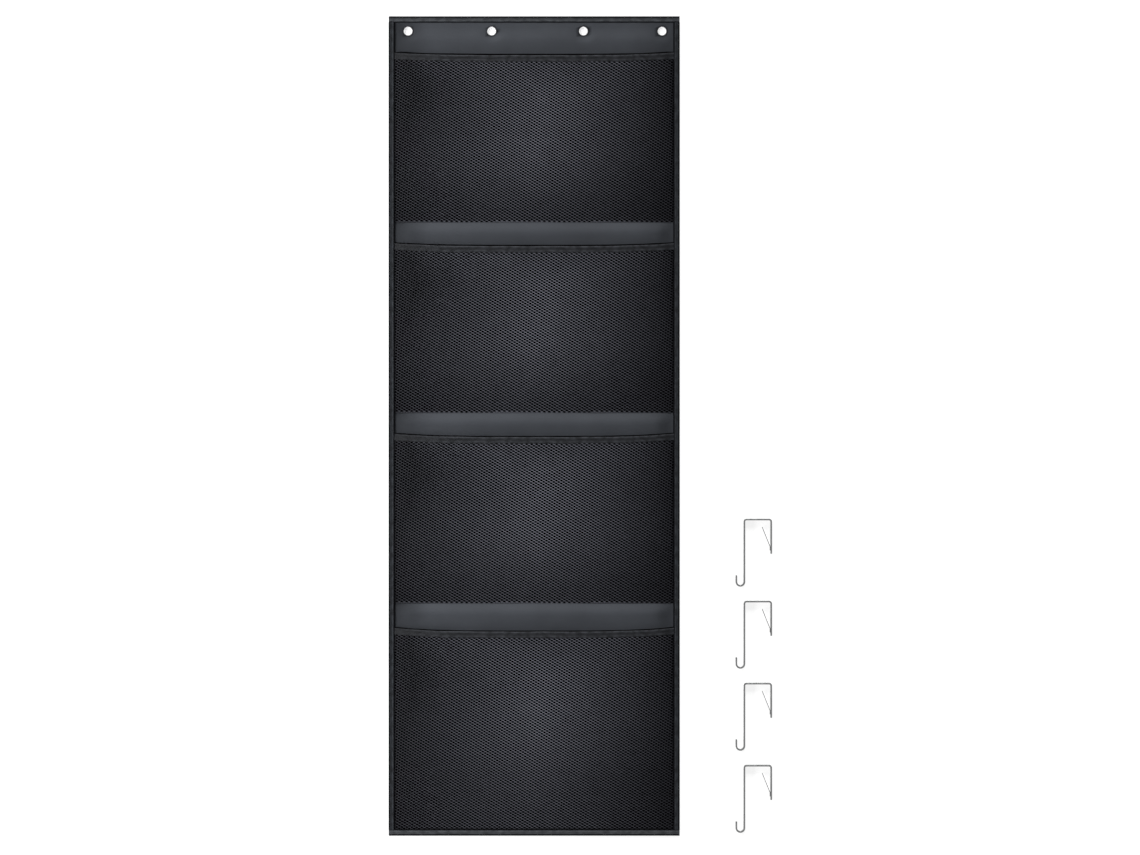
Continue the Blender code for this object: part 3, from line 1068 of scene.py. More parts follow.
    def build(self) -> None:
        """The cloth, closed all round, with its eyelet holes cut."""
        layout = self.layout
        xs, ys = self.grid()
        flat = [self.place(x, y) for y in ys for x in xs]
        points = [(x, y, layout.front + self.relief(x, y)) for x, y in flat]
        for x, y in flat:
            tucked = 1 - smoothstep(0.0, self.tuck, layout.from_tape(x, y))
            points.append((x, y, layout.edge_back * tucked))
        piece = link_mesh("panel_cloth", points, self.sheet_faces(len(xs), len(ys)))
        self.cut_eyelet_holes(piece)
        sharpen(piece, self.sharp_angle)
        behind = layout.front - self.face_depth
        places = [vert.co for vert in piece.data.vertices]
        # Painted shade on the cloth's front face: in the pockets, in the creases, towards the sides and
        # round the eyelets
        mark(piece, "painted_shade", [self.painted_shade(at.x, at.y) if at.z > behind else 0.0 for at in places])
        dress(piece, ClothFinish().make(), ORGANIZER, "back_panel")

    def cut_eyelet_holes(self, piece: Piece) -> None:
        """Cut a round hole through the cloth at each eyelet.

        Args:
            piece: The cloth.
        """
        for centre in self.eyelets:
            bpy.ops.object.select_all(action="DESELECT")
            bpy.ops.mesh.primitive_cylinder_add(
                vertices=self.hole_sides, radius=self.hole_radius, depth=self.hole_cut, location=centre
            )
            cutter = bpy.context.active_object
            cut = piece.modifiers.new("eyelet_hole", "BOOLEAN")
            cut.operation, cut.solver, cut.object = "DIFFERENCE", "EXACT", cutter
            apply_modifiers(piece)
            bpy.data.objects.remove(cutter, do_unlink=True)


@dataclass
class EdgeTape:
    """One length of tape folded over the panel's edge, with two soft ribs along its face."""

    layout: Layout
    side: Side
    mouths: list[float]
    ring_pitch: float = 0.006
    end_gap: float = 0.0002
    fold_radius: float = 0.0007
    fold_steps: int = 5
    rib_height: float = 0.0003
    rib_steps: int = 14
    ribs: int = 2
    # The face's inner edge: how far the ribs end before it, and its two chamfer points
    rib_end: float = 0.0003
    chamfer: tuple[Pair, ...] = ((0.0001, 0.0001), (0.0, 0.0004))
    stitch_inset: float = 0.0013
    stitch_dip: float = 0.00018
    stitch_dip_width: float = 0.0006
    stitch_sink: float = 0.00006
    # The slight wave of its width: height, turns in a metre times tau, phase, share in its level
    wave: tuple[float, ...] = (0.00012, 210.0, 3.0, 0.6)
    tucked_lift: float = 0.0004
    tucked_reach: float = 0.006
    sharp_angle: float = 60.0

    def __post_init__(self) -> None:
        """Name the tape, and read its level and how far it runs each way."""
        layout = self.layout
        self.name = f"tape_{self.side.name.lower()}"
        self.upright = self.side.value[0] != 0
        self.top = layout.top_tape_top if self.side is Side.TOP else layout.tape_top
        self.half = layout.clear_half_height if self.upright else layout.half_width

    def edge(self, along: float) -> Pair:
        """The tape's width and the level of its face at a place, raised where a hem is tucked under it.

        Args:
            along: Place along the tape.

        Returns:
            The width and the level.
        """
        height, turns, phase, share = self.wave
        wave = height * math.sin(along * turns + phase * self.side.value[0])
        nearest = min(abs(along - mouth) for mouth in self.mouths)
        lift = self.tucked_lift * (1 - smoothstep(0.0, self.tucked_reach, nearest)) if self.upright else 0.0
        return self.layout.tape_width + wave, self.top - self.rib_height + lift + wave * share

    def point(self, inward: float, along: float, level: float) -> Point:
        """A point of the tape.

        Args:
            inward: Distance in from the panel's edge.
            along: Place along the tape.
            level: Height over the floor.

        Returns:
            The point.
        """
        across, up = self.side.value
        if self.upright:
            return (across * (self.layout.half_width - inward), along, level)
        return (along, up * (self.layout.half_height - inward), level)

    def stitch_place(self, along: float) -> Point:
        """Middle of the stitch row at a place along the tape."""
        width, face = self.edge(along)
        return self.point(width - self.stitch_inset, along, face - self.stitch_sink)

    def section(self, width: float, face: float) -> list[Pair]:
        """Section of the tape: distance in from the edge, and level.

        Args:
            width: The tape's width there.
            face: The level of its face there.

        Returns:
            The closed section.
        """
        thickness, steps = self.layout.tape_thickness, self.fold_steps
        radius = min(face / 2, self.fold_radius)
        points = [(width, thickness), (width, 0.0)]
        points += arc((radius, radius), radius, 270, 180, steps)
        points += arc((radius, face - radius), radius, 180, 90, steps)
        for k in range(1, self.rib_steps):
            share = k / self.rib_steps
            inward = radius + (width - self.rib_end - radius) * share
            rib = self.rib_height * math.sin(math.pi * self.ribs * share) ** 2
            from_stitches = (width - inward - self.stitch_inset) / self.stitch_dip_width
            points.append((inward, face + rib - self.stitch_dip * math.exp(-from_stitches**2)))
        points += [(width - inset, face - drop) for inset, drop in self.chamfer]
        under = face - thickness + self.rib_height
        return points + [(width, under), (thickness, under), (thickness, thickness)]

    def build(self, finish: Material) -> None:
        """The tape as one closed strip along its edge.

        Args:
            finish: Its material.
        """
        half = self.half - self.end_gap
        count = max(2, round(2 * half / self.ring_pitch))
        places = [half * (2 * k / count - 1) for k in range(count + 1)]
        sections = [self.section(*self.edge(along)) for along in places]
        rings = [[self.point(inward, y, z) for inward, z in part] for y, part in zip(places, sections)]
        piece = skin_rings(self.name, rings, [along + half for along in places])
        middle = self.section(*self.edge(0.0))
        inward = [share_between(0.0, self.layout.tape_width, point[0]) for point in middle]
        mark(piece, "across", inward * len(rings))
        sharpen(piece, self.sharp_angle)
        dress(piece, finish, ORGANIZER, f"edge_binding_{self.side.name.lower()}")


@dataclass
class NetPocket:
    """One pocket's knitted net: a hexagonal lattice of holes, bulging off the panel."""

    layout: Layout
    lines: PocketLines
    column_step: float = 0.003606
    row_step: float = 0.004127
    row_lean: float = 0.0794
    column_drop: float = -0.0145
    hole_share: float = 0.80
    hole_flatness: float = 0.88
    # Painted highlights: how light the six strands round a hole are, lightest on those that would catch the
    # light
    strand_highlight_tones: tuple[float, ...] = (0.20, 1.0, 0.26, 0.20, 1.0, 0.26)
    thickness: float = 0.0005
    side_overlap: float = 0.0022
    foot_overlap: float = 0.0030
    first_row: float = 0.0021
    solid_foot: float = 0.0009
    spare_rows: int = 2
    under_fold: float = 0.0008
    hem_share: float = 0.35
    merge_distance: float = 0.00002
    least_face: float = 1e-9
    sharp_angle: float = 45.0

    def __post_init__(self) -> None:
        """Work out the net's half width and lowest line, both just hidden under the tapes."""
        self.half = self.layout.clear_half_width + self.side_overlap
        self.foot = self.lines.foot
        if self.foot < -self.layout.clear_half_height:
            self.foot = -self.layout.clear_half_height - self.foot_overlap

    def holes(self) -> tuple[dict[tuple[int, int], int], list[Pair], Faces]:
        """Lay out the flat net's holes, which lean a little.

        Returns:
            Each hole's first point by column and row, the points, and the holes that are solid.
        """
        top = self.lines.mouth + self.lines.mouth_rise - self.hem_share * self.lines.hem_height - self.foot
        columns = math.ceil((self.half + self.row_lean * top) / self.column_step) + 1
        rows = math.ceil(top / self.row_step) + self.spare_rows
        corners = arc((0.0, 0.0), self.hole_share * self.row_step / math.sqrt(3), 0, 300, 5)
        first: dict[tuple[int, int], int] = {}
        points: list[Pair] = []
        solid: Faces = []
        for c, r in itertools.product(range(-columns, columns + 1), range(-self.spare_rows, rows + 1)):
            x, y = c * self.column_step, self.first_row + (r + (c % 2) / 2) * self.row_step
            if abs(x + self.row_lean * y) > self.half + 2 * self.column_step:
                continue
            first[c, r] = start = len(points)
            for dx, dy in corners:
                px, py = x + dx, y + self.hole_flatness * dy
                points.append((px + self.row_lean * py, self.foot + py + self.column_drop * px))
            if y + self.column_drop * x < self.solid_foot:
                solid.append(tuple(range(start, start + len(corners))))
        return first, points, solid

    def lattice(self) -> tuple[list[Pair], Faces]:
        """The flat lattice.

        Returns:
            Its hole corners, and the struts and joints between the holes.
        """
        first, points, faces = self.holes()
        for (c, r), a in first.items():
            above = first.get((c, r + 1))
            upper = first.get((c + 1, r + c % 2))
            lower = first.get((c + 1, r - 1 + c % 2))
            if above is not None:
                faces.append((a + 1, above + 5, above + 4, a + 2))
            if upper is not None:
                faces.append((a, upper + 4, upper + 3, a + 1))
            if lower is not None:
                faces.append((a + 5, lower + 3, lower + 2, a))
            if upper is not None and lower is not None:
                faces.append((a, lower + 2, upper + 4))
            if upper is not None and above is not None:
                faces.append((a + 1, upper + 3, above + 5))
        return points, faces

    def clean(self, piece: Piece) -> None:
        """Merge doubled points, and drop slivers and loose points.

        Args:
            piece: The trimmed net.
        """
        bm = bmesh.new()
        bm.from_mesh(piece.data)
        bmesh.ops.remove_doubles(bm, verts=bm.verts[:], dist=self.merge_distance)
        slivers = [face for face in bm.faces if face.calc_area() < self.least_face]
        bmesh.ops.delete(bm, geom=slivers, context="FACES")
        bmesh.ops.delete(bm, geom=[vert for vert in bm.verts if not vert.link_faces], context="VERTS")
        bm.to_mesh(piece.data)
        bm.free()

    def build(self, finish: Material) -> None:
        """The net, trimmed to its pocket, bulged and given its thickness.

        Args:
            finish: Its material.
        """
        lines, half = self.lines, self.half
        flat, faces = self.lattice()
        points = []
        for x, y in flat:
            x = min(max(x, -half), half)
            y = min(max(y, self.foot), lines.mouth_line(x) - self.under_fold)
            points.append((x, y, self.layout.net_level + lines.rise(x, y)))
        piece = link_mesh(f"net_{lines.number}", points, faces)
        # Painted highlights on the strands
        mark(piece, "strand_highlight", self.strand_highlight_tones * (len(points) // len(self.strand_highlight_tones)))
        self.clean(piece)
        area = sum(face.area for face in piece.data.polygons)
        thicken = piece.modifiers.new("thickness", "SOLIDIFY")
        thicken.thickness, thicken.offset = self.thickness, 0.0
        apply_modifiers(piece)
        piece.data.shade_smooth()
        sharpen(piece, self.sharp_angle)
        # Painted sheen and shade over the net
        mark(piece, "painted_sheen", [lines.painted_sheen(vert.co.x, vert.co.y) for vert in piece.data.vertices])
        dress(piece, finish, ORGANIZER, f"mesh_pocket_{lines.number}")
        width, depth = 2 * half, lines.mouth - self.foot
        area = min(area, width * depth)


@dataclass
class Hem:
    """The tape folded over a net's top edge."""

    layout: Layout
    lines: PocketLines
    cloth: float = 0.00035
    net_room: float = 0.0003
    samples: int = 110
    fold_steps: int = 6
    face_steps: int = 10
    rib_height: float = 0.00045
    rib_turns: float = 0.98
    rib_power: float = 1.3
    end_overlap: float = 0.0030
    pressed: Pair = (0.012, 0.001)
    sway: Point = (0.00025, 0.05, 2.3)
    end_shade: float = 0.75
    end_shade_width: float = 0.085
    sharp_angle: float = 60.0
    stitch_share: float = 0.53
    stitch_sink: float = 0.00006

    def section(self, flatness: float) -> list[Pair]:
        """Section about the net's middle: distance down from the hem's top, and level.

        Args:
            flatness: 1 where the hem is pressed flat at its ends, 0 where it is free.

        Returns:
            The closed section.
        """
        height, inner, outer = self.lines.hem_height, self.net_room, self.net_room + self.cloth
        swell = (1 - flatness) * self.rib_height
        points = [(height, -outer), *arc((outer, 0.0), outer, 270, 90, self.fold_steps)]
        for k in range(1, self.face_steps):
            share = k / self.face_steps
            rib = abs(math.sin(math.tau * share * self.rib_turns)) ** self.rib_power
            points.append((outer + (height - outer) * share, outer + swell * rib))
        return points + [(height, outer), (height, inner), (outer, inner), (outer, -inner), (height, -inner)]

    def stitch_place(self, x: float) -> Point:
        """Middle of the stitch row at x, in the groove along the hem."""
        level = self.lines.hem_level(x) + self.net_room + self.cloth - self.stitch_sink
        return (x, self.lines.mouth_line(x) - self.stitch_share * self.lines.hem_height, level)

    def build(self, finish: Material) -> None:
        """The hem from under one side tape to under the other.

        Args:
            finish: Its material.
        """
        lines, clear = self.lines, self.layout.clear_half_width
        half = clear + self.end_overlap
        height, length, step = self.sway
        rings, runs = [], []
        for k in range(self.samples + 1):
            x = half * (2 * k / self.samples - 1)
            mouth, level = lines.mouth_line(x), lines.hem_level(x)
            flatness = smoothstep(clear - self.pressed[0], clear - self.pressed[1], abs(x))
            sway = height * ripple(x, mouth, length, step * lines.number) * (1 - flatness)
            rings.append([(x, mouth + sway - down, level + out) for down, out in self.section(flatness)])
            runs.append(x + half)
        piece = skin_rings(f"hem_{lines.number}", rings, runs)
        down = [share_between(0.0, lines.hem_height, point[0]) for point in self.section(0.0)]
        mark(piece, "across", down * len(rings))
        far = [smoothstep(0.0, self.end_shade_width, vert.co.x + clear) for vert in piece.data.vertices]
        mark(piece, "shade", [self.end_shade * (1 - share) for share in far])
        sharpen(piece, self.sharp_angle)
        dress(piece, finish, ORGANIZER, f"pocket_hem_{lines.number}")


@dataclass
class StitchRow:
    """A row of lockstitches along a path, each one a short pill of thread."""

    name: str
    path: Callable[[float], Point]
    half: float
    pitch: float = 0.0032
    length: float = 0.0023
    radius: float = 0.00026
    sides: int = 6
    flatness: float = 0.8
    # Places along a stitch as shares of its length, and how thick it is there
    stations: Stops = ((-0.5, 0.35), (-0.3, 1.0), (0.3, 1.0), (0.5, 0.35))

    def stitch(self, middle: Vector, direction: Vector) -> list[Point]:
        """One stitch's points.

        Args:
            middle: Its middle.
            direction: The way that it runs.

        Returns:
            The points, round by round.
        """
        side = Vector((-direction.y, direction.x, 0)).normalized()
        up = direction.cross(side) * -1
        turns = [math.tau * k / self.sides for k in range(self.sides)]
        girth = [side * math.cos(turn) + up * (self.flatness * math.sin(turn)) for turn in turns]
        points = []
        for share, size in self.stations:
            centre = middle + direction * (share * self.length)
            points += [tuple(centre + offset * (self.radius * size)) for offset in girth]
        return points

    def build(self, finish: Material) -> None:
        """The whole row as one piece.

        Args:
            finish: The thread's material.
        """
        shape = tube_faces(len(self.stations), self.sides)
        points: list[Point] = []
        faces: Faces = []
        for k in range(int(2 * self.half / self.pitch)):
            at = (k + 0.5) * self.pitch - self.half
            near, far = (Vector(self.path(at + side * self.length / 2)) for side in (-1, 1))
            faces += [tuple(len(points) + i for i in face) for face in shape]
            points += self.stitch((near + far) / 2, (far - near).normalized())
        piece = link_mesh(self.name, points, faces)
        face_outwards(piece)
        dress(piece, finish, ORGANIZER)


@dataclass
class Sewing:
    """Every visible row of stitches on the organizer."""

    layout: Layout
    tapes: list[EdgeTape]
    hems: list[Hem]
    end_gap: float = 0.002

    def build(self, finish: Material) -> None:
        """Sew the rows of the edge tapes and of the hems.

        Args:
            finish: The thread's material.
        """
        for tape in self.tapes:
            half = tape.half - (0.0 if tape.upright else self.end_gap)
            StitchRow(f"stitches_{tape.name}", tape.stitch_place, half).build(finish)
        for hem in self.hems:
            name = f"stitches_hem_{hem.lines.number}"
            StitchRow(name, hem.stitch_place, self.layout.clear_half_width).build(finish)


# Metal pieces, modelled one by one


class Workbench:
    """One mesh at a time in edit mode, shaped with Blender's own operators."""

    MERGE_DISTANCE = 0.00001

    @staticmethod
    def clear() -> None:
        """Leave nothing selected, and no piece in edit mode."""
        if bpy.context.object and bpy.context.object.mode != "OBJECT":
            bpy.ops.object.mode_set(mode="OBJECT")
        bpy.ops.object.select_all(action="DESELECT")

    @staticmethod
    def edit() -> Piece:
        """Start editing the newest piece, with all of it selected.

        Returns:
            The piece.
        """
        piece = bpy.context.active_object
        pick_alone(piece)
        bpy.ops.object.mode_set(mode="EDIT")
        bpy.ops.mesh.select_all(action="SELECT")
        return piece

    @staticmethod
    def close(piece: Piece, name: str, sharp: float) -> Piece:
        """Merge doubles, turn faces outwards, leave edit mode and shade the piece smooth.

        Args:
            piece: The piece being edited.
            name: Its name from now on.
            sharp: Edges past this many degrees stay crisp.

        Returns:
            The piece, at the origin with its place in its mesh.
        """
        bpy.ops.mesh.select_all(action="SELECT")
        bpy.ops.mesh.remove_doubles(threshold=Workbench.MERGE_DISTANCE)
        bpy.ops.mesh.normals_make_consistent(inside=False)
        bpy.ops.object.mode_set(mode="OBJECT")
        bpy.ops.object.transform_apply(location=True, rotation=True, scale=True)
        piece.name = piece.data.name = name
        piece.data.shade_smooth()
        sharpen(piece, sharp)
        return piece


@dataclass
class TurnedRing:
    """A round ring: a hoop of edges drawn along a section and bridged back to its start."""

    name: str
    centre: Vector
    section: list[Pair]
    segments: int = 64
    sharp_angle: float = 40.0

    def build(self) -> Piece:
        """Draw the hoop along its section.

        Returns:
            The closed ring.
        """
        Workbench.clear()
        radius, height = self.section[0]
        x, y = self.centre.xy
        bpy.ops.mesh.primitive_circle_add(
            vertices=self.segments, radius=radius, fill_type="NOTHING", location=(x, y, height)
        )
        ring = Workbench.edit()
        for next_radius, next_height in self.section[1:]:
            rise = {"value": (0, 0, next_height - height)}
            bpy.ops.mesh.extrude_edges_move(TRANSFORM_OT_translate=rise)
            size = next_radius / radius
            bpy.ops.transform.resize(value=(size, size, 1), center_override=(x, y, next_height))
            radius, height = next_radius, next_height
        bm = bmesh.from_edit_mesh(ring.data)
        for edge in bm.edges:
            edge.select_set(edge.is_boundary)
        bmesh.update_edit_mesh(ring.data)
        bpy.ops.mesh.bridge_edge_loops()
        return Workbench.close(ring, self.name, self.sharp_angle)


@dataclass
class Eyelet:
    """A pressed eyelet with a rolled flange, and the washer that it is clinched to."""

    number: int
    hole_share: float = 0.6
    flange: float = 0.0008
    wall: float = 0.0006
    flare: float = 0.0006
    inner_lip: float = 0.0012
    outer_lip: float = 0.0007
    lip_steps: int = 6
    washer_fit: float = 0.0003
    washer_chamfer: float = 0.0001
    # Painted shade: how wide it is at the rim and in the bore, how strong there, and where it starts
    rim_width: float = 0.0013
    bore_width: float = 0.0010
    bore_shade_share: float = 0.6
    bore_side: Pair = (0.3, 0.8)

    def __post_init__(self) -> None:
        """Read the eyelet's and its washer's boxes."""
        self.low, self.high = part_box(f"eyelet_{self.number}")
        self.outer = (self.high.x - self.low.x) / 2
        self.hole = self.hole_share * self.outer

    def ring_section(self, clinch: float, back: float) -> list[Pair]:
        """Section of the eyelet, as (radius, height).

        Args:
            clinch: Level of the washer's face.
            back: Level of the washer's back.

        Returns:
            The closed section.
        """
        hole, outer, top = self.hole, self.outer, self.high.z
        under, barrel = top - self.flange, hole + self.wall
        lip = arc((hole + self.inner_lip, top - self.inner_lip), self.inner_lip, 180, 90, self.lip_steps)
        rim = arc((outer - self.outer_lip, top - self.outer_lip), self.outer_lip, 90, 0, self.lip_steps)
        flared = [(barrel + self.flare, back), (hole + self.flare, back)]
        return [(hole, clinch), *lip, *rim, (outer, under), (barrel, under), (barrel, clinch), *flared]

    def washer_section(self, low: Vector, high: Vector) -> list[Pair]:
        """Section of the washer, as (radius, height).

        Args:
            low: Its box's lowest corner.
            high: Its box's highest corner.

        Returns:
            The closed section.
        """
        outer, cut = (high.x - low.x) / 2, self.washer_chamfer
        bore = self.hole + self.wall + self.washer_fit
        rim = [(outer - cut, high.z), (outer, high.z - cut), (outer, low.z + cut), (outer - cut, low.z)]
        return [(bore, high.z), *rim, (bore + self.flare, low.z)]

    def shade_share(self, arm: Vector) -> float:
        """Share of painted shade at a place: at the outer rim, and on the bore's left side.

        Args:
            arm: The place, seen from the eyelet's middle.

        Returns:
            The share of tarnish.
        """
        reach = math.hypot(arm.x, arm.y)
        rim = smoothstep(self.outer - self.rim_width, self.outer, reach)
        bore = 1 - smoothstep(self.hole, self.hole + self.bore_width, reach)
        return max(rim, self.bore_shade_share * bore * smoothstep(*self.bore_side, -arm.x / reach))

    def build(self, finish: Material) -> None:
        """The eyelet and its washer.

        Args:
            finish: Their material.
        """
        low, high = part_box(f"eyelet_washer_{self.number}")
        centre = (self.low + self.high) / 2
        parts = (
            ("eyelet_ring", "eyelet", self.ring_section(high.z, low.z)),
            ("washer_ring", "eyelet_washer", self.washer_section(low, high)),
        )
        for name, node, section in parts:
            piece = TurnedRing(f"{name}_{self.number}", centre, section).build()
            # Painted shade at the rim and on the bore's left side
            mark(piece, "rim", [self.shade_share(vert.co - centre) for vert in piece.data.vertices])
            dress(piece, finish, ORGANIZER, f"{node}_{self.number}")


@dataclass
class BentStrap:
    """A flat strap drawn out from its cut end by straight runs and round bends in the floor's plane."""

    name: str
    place: Vector
    heading: Vector
    thickness: float
    width: float
    corner: float
    corner_steps: int = 3
    bend_steps: int = 10
    sharp_angle: float = 40.0

    def __post_init__(self) -> None:
        """Lay the strap's cut end down and start editing it."""
        Workbench.clear()
        bpy.ops.mesh.primitive_plane_add(size=1, location=self.place)
        self.piece = Workbench.edit()
        bpy.ops.transform.resize(value=(self.thickness, self.width, 1), center_override=self.place)
        bpy.ops.mesh.bevel(offset=self.corner, segments=self.corner_steps, affect="VERTICES")
        bpy.ops.transform.rotate(value=math.pi / 2, orient_axis="X", center_override=self.place)
        turn = math.atan2(self.heading.y, self.heading.x) - math.pi / 2
        bm = bmesh.from_edit_mesh(self.piece.data)
        bmesh.ops.rotate(bm, matrix=Matrix.Rotation(turn, 3, "Z"), verts=bm.verts[:])
        bmesh.update_edit_mesh(self.piece.data)

    def run(self, length: float) -> None:
        """Draw the strap straight on.

        Args:
            length: How far.
        """
        move = self.heading * length
        bpy.ops.mesh.extrude_region_move(TRANSFORM_OT_translate={"value": move})
        self.place = self.place + move

    def bend(self, radius: float, degrees: float) -> None:
        """Bend the strap on its middle line.

        Args:
            radius: The bend's radius.
            degrees: How far it turns; left is positive.
        """
        side = Vector((-self.heading.y, self.heading.x, 0)) * math.copysign(1, degrees)
        centre, angle = self.place + side * radius, math.radians(degrees)
        steps = max(2, round(self.bend_steps * abs(degrees) / 90))
        bpy.ops.mesh.spin(steps=steps, angle=angle, center=centre, axis=(0, 0, -1))
        turn = Matrix.Rotation(angle, 3, "Z")
        self.place = centre + turn @ (self.place - centre)
        self.heading = turn @ self.heading

    def finish(self, material: Material, body: str, node: str = "") -> None:
        """Close the strap and dress it."""
        dress(Workbench.close(self.piece, self.name, self.sharp_angle), material, body, node)


@dataclass
class DoorHook:
    """One over-door hook of flat strap with its leaf spring, read from its node's box."""

    number: int
    thickness: float = 0.0024
    width: float = 0.0070
    corner: float = 0.0004
    cup_opening: float = 0.0092
    cup_tip_height: float = 0.0163
    saddle_radius: float = 0.0020
    back_leg: float = 0.0505
    leaf_thickness: float = 0.0008
    leaf_width: float = 0.0050
    leaf_corner: float = 0.0001
    leaf_lean: float = 21.9
    foot_length: float = 0.0060
    foot_gap: float = 0.00005
    root_height: float = 0.0110
    fit: float = 0.0003

    def build(self, steel: Material, spring_steel: Material) -> None:
        """The strap, the spring's welded foot and its leaf.

        Args:
            steel: The strap's material.
            spring_steel: The spring's material.
        """
        low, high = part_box(f"hook_{self.number}")
        body = f"hook_{self.number}_body"
        self.build_strap(low, high).finish(steel, body, f"hook_{self.number}")
        x = high.x - self.thickness - self.leaf_thickness / 2 + self.foot_gap
        top = high.y - self.back_leg + self.root_height - self.fit
        foot = self.spring_strip("leaf_foot", Vector((x, top, (low.z + high.z) / 2)), Vector((0, -1, 0)))
        foot.run(self.foot_length)
        foot.finish(spring_steel, body)
        self.build_leaf().finish(spring_steel, f"hook_{self.number}_leaf", f"hook_spring_{self.number}")

    def build_strap(self, low: Vector, high: Vector) -> BentStrap:
        """Bend the strap from the cup's tip to the back leg's end.

        Args:
            low: The hook's lowest corner.
            high: The hook's highest corner.

        Returns:
            The bent strap.
        """
        half = self.thickness / 2
        cup, saddle = (self.cup_opening + self.thickness) / 2, self.saddle_radius + half
        start = Vector((low.x + half, low.y + self.cup_tip_height, (low.z + high.z) / 2))
        name, down = f"hook_strap_{self.number}", Vector((0, -1, 0))
        strap = BentStrap(name, start, down, self.thickness, self.width, self.corner)
        strap.run(self.cup_tip_height - half - cup)
        strap.bend(cup, 180)
        strap.run(high.y - low.y - 2 * half - cup - saddle)
        strap.bend(saddle, -90)
        strap.run((high.x - low.x) - 2 * cup - self.thickness - 2 * saddle)
        strap.bend(saddle, -90)
        strap.run(self.back_leg - half - saddle)
        return strap

    def spring_strip(self, name: str, start: Vector, heading: Vector) -> BentStrap:
        """The cut end of a strip of spring steel."""
        name = f"{name}_{self.number}"
        return BentStrap(name, start, heading, self.leaf_thickness, self.leaf_width, self.leaf_corner)

    def build_leaf(self) -> BentStrap:
        """Draw the leaf, leaning into the door gap from its root.

        Returns:
            The leaf.
        """
        low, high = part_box(f"hook_spring_{self.number}")
        lean = math.radians(self.leaf_lean)
        half, sine, cosine = self.leaf_thickness / 2, math.sin(lean), math.cos(lean)
        root = Vector((high.x - half * cosine, low.y + half * sine, (low.z + high.z) / 2))
        leaf = self.spring_strip("leaf", root, Vector((-sine, cosine, 0)))
        leaf.run((high.y - low.y - self.leaf_thickness * sine) / cosine)
        return leaf


# The studio


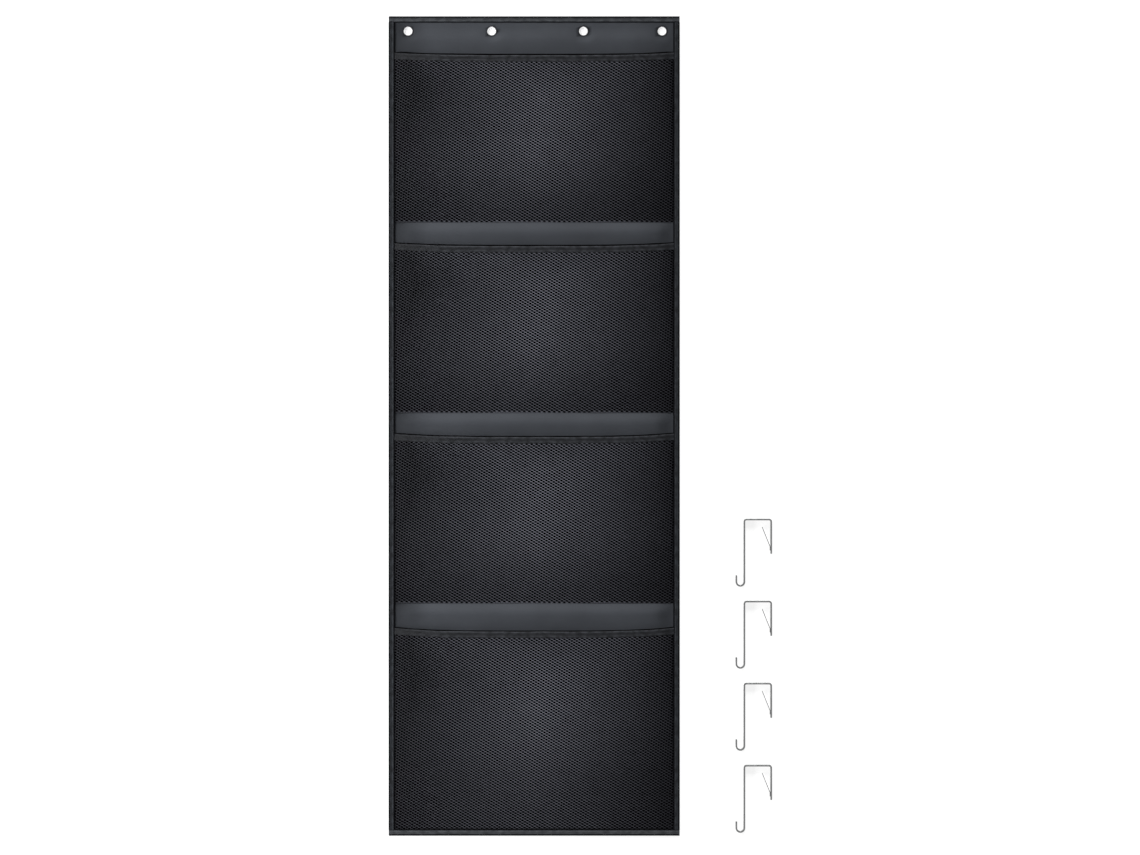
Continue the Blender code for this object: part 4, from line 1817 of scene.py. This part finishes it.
@dataclass
class Studio:
    """White floor, soft light and the camera straight above."""

    camera_height: float = 6.0
    look_at: Pair = (0.0517, -0.0022)
    view_width: float = 1.6451
    sensor: float = 36.0
    floor_size: float = 14.0
    floor_gap: float = 0.0002
    sky_strength: float = 0.08
    sun_strength: float = 2.8
    sun_spread: float = 22.0
    sun_lean: float = -63.0
    strip_place: Point = (-1.1, 0.0, 0.60)
    strip_size: Pair = (0.3, 3.4)
    strip_power: float = 38.0

    def build(self) -> None:
        """Camera, floor, surround and light, under the plain view transform."""
        bpy.context.scene.view_settings.view_transform = "Standard"
        self.build_camera()
        self.build_floor()
        self.build_sky()
        self.build_light()

    @staticmethod
    def hold(name: str, data: bpy.types.Camera | bpy.types.Light, place: Point, turn: Point) -> Piece:
        """Put a camera or a lamp in the scene.

        Args:
            name: Its name.
            data: Its settings.
            place: Where it stands.
            turn: How it is turned, in radians.

        Returns:
            Its holder.
        """
        holder = bpy.data.objects.new(name, data)
        holder.location, holder.rotation_euler = place, turn
        bpy.context.collection.objects.link(holder)
        return holder

    def build_camera(self) -> None:
        """The camera, straight above, with the panel's top edge up."""
        camera = bpy.data.cameras.new("camera")
        camera.sensor_width = self.sensor
        camera.lens = self.sensor * self.camera_height / self.view_width
        place = (*self.look_at, self.camera_height)
        bpy.context.scene.camera = self.hold("camera", camera, place, (0, 0, 0))

    def build_floor(self) -> None:
        """The floor that everything lies on."""
        Workbench.clear()
        bpy.ops.mesh.primitive_plane_add(size=self.floor_size, location=(0, 0, -self.floor_gap))
        floor = bpy.context.active_object
        floor.name = "floor"
        floor.data.materials.append(FloorFinish().make())

    def build_sky(self) -> None:
        """A plain white surround, pure white to the camera and in reflections."""
        world = bpy.data.worlds.new("white_surround")
        bpy.context.scene.world = world
        graph = Graph(world, "Background")
        strength = graph.range(graph.plainly_seen(), self.sky_strength, 1.0)
        graph.fit(graph.shader, Color=(1, 1, 1, 1), Strength=strength)

    def build_light(self) -> None:
        """A broad soft light from above the top edge, and a long strip light at the left."""
        sun = bpy.data.lights.new("soft_light", "SUN")
        sun.energy, sun.angle = self.sun_strength, math.radians(self.sun_spread)
        self.hold("soft_light", sun, (0, 0, 0), (math.radians(self.sun_lean), 0, 0))
        strip = bpy.data.lights.new("strip_light", "AREA")
        strip.shape, strip.energy = "RECTANGLE", self.strip_power
        strip.size, strip.size_y = self.strip_size
        lean = math.atan2(self.strip_place[0], self.strip_place[2])
        self.hold("strip_light", strip, self.strip_place, (0, lean, 0))


def main() -> None:
    """Build every piece in order and report each."""
    logging.basicConfig(level=logging.INFO, format="%(message)s")
    Studio().build()
    log.info("studio set")
    layout = Layout.from_frame()
    pockets = [PocketLines.from_frame(number, layout) for number in range(1, POCKET_COUNT + 1)]
    side_finish, end_finish, hem_finish, net_finish, thread_finish = (
        kind().make() for kind in (TapeFinish, EndTapeFinish, HemTapeFinish, NetFinish, ThreadFinish)
    )
    nickel = MetalFinish("bright_nickel", (0.90, 0.90, 0.91), (0.78, 0.78, 0.79), (0.29, 0.46)).make()
    steel = MetalFinish("plain_steel", (0.20, 0.203, 0.203), (0.15, 0.153, 0.153), (0.23, 0.40)).make()
    spring = MetalFinish("spring_steel", (0.045, 0.046, 0.047), (0.022, 0.023, 0.024), (0.27, 0.44)).make()
    PanelCloth(layout, pockets).build()
    log.info("panel cloth made")
    tapes = [EdgeTape(layout, side, [pocket.tucked() for pocket in pockets]) for side in Side]
    for tape in tapes:
        tape.build(side_finish if tape.upright else end_finish)
        log.info("%s made", tape.name)
    hems = [Hem(layout, lines) for lines in pockets]
    for lines, hem in zip(pockets, hems):
        NetPocket(layout, lines).build(net_finish)
        hem.build(hem_finish)
        log.info("pocket %d made", lines.number)
    Sewing(layout, tapes, hems).build(thread_finish)
    log.info("stitches sewn")
    for number in range(1, EYELET_COUNT + 1):
        Eyelet(number).build(nickel)
        log.info("eyelet %d made", number)
    for number in range(1, HOOK_COUNT + 1):
        DoorHook(number).build(steel, spring)
        log.info("hook %d made", number)


if __name__ == "__main__":
    main()
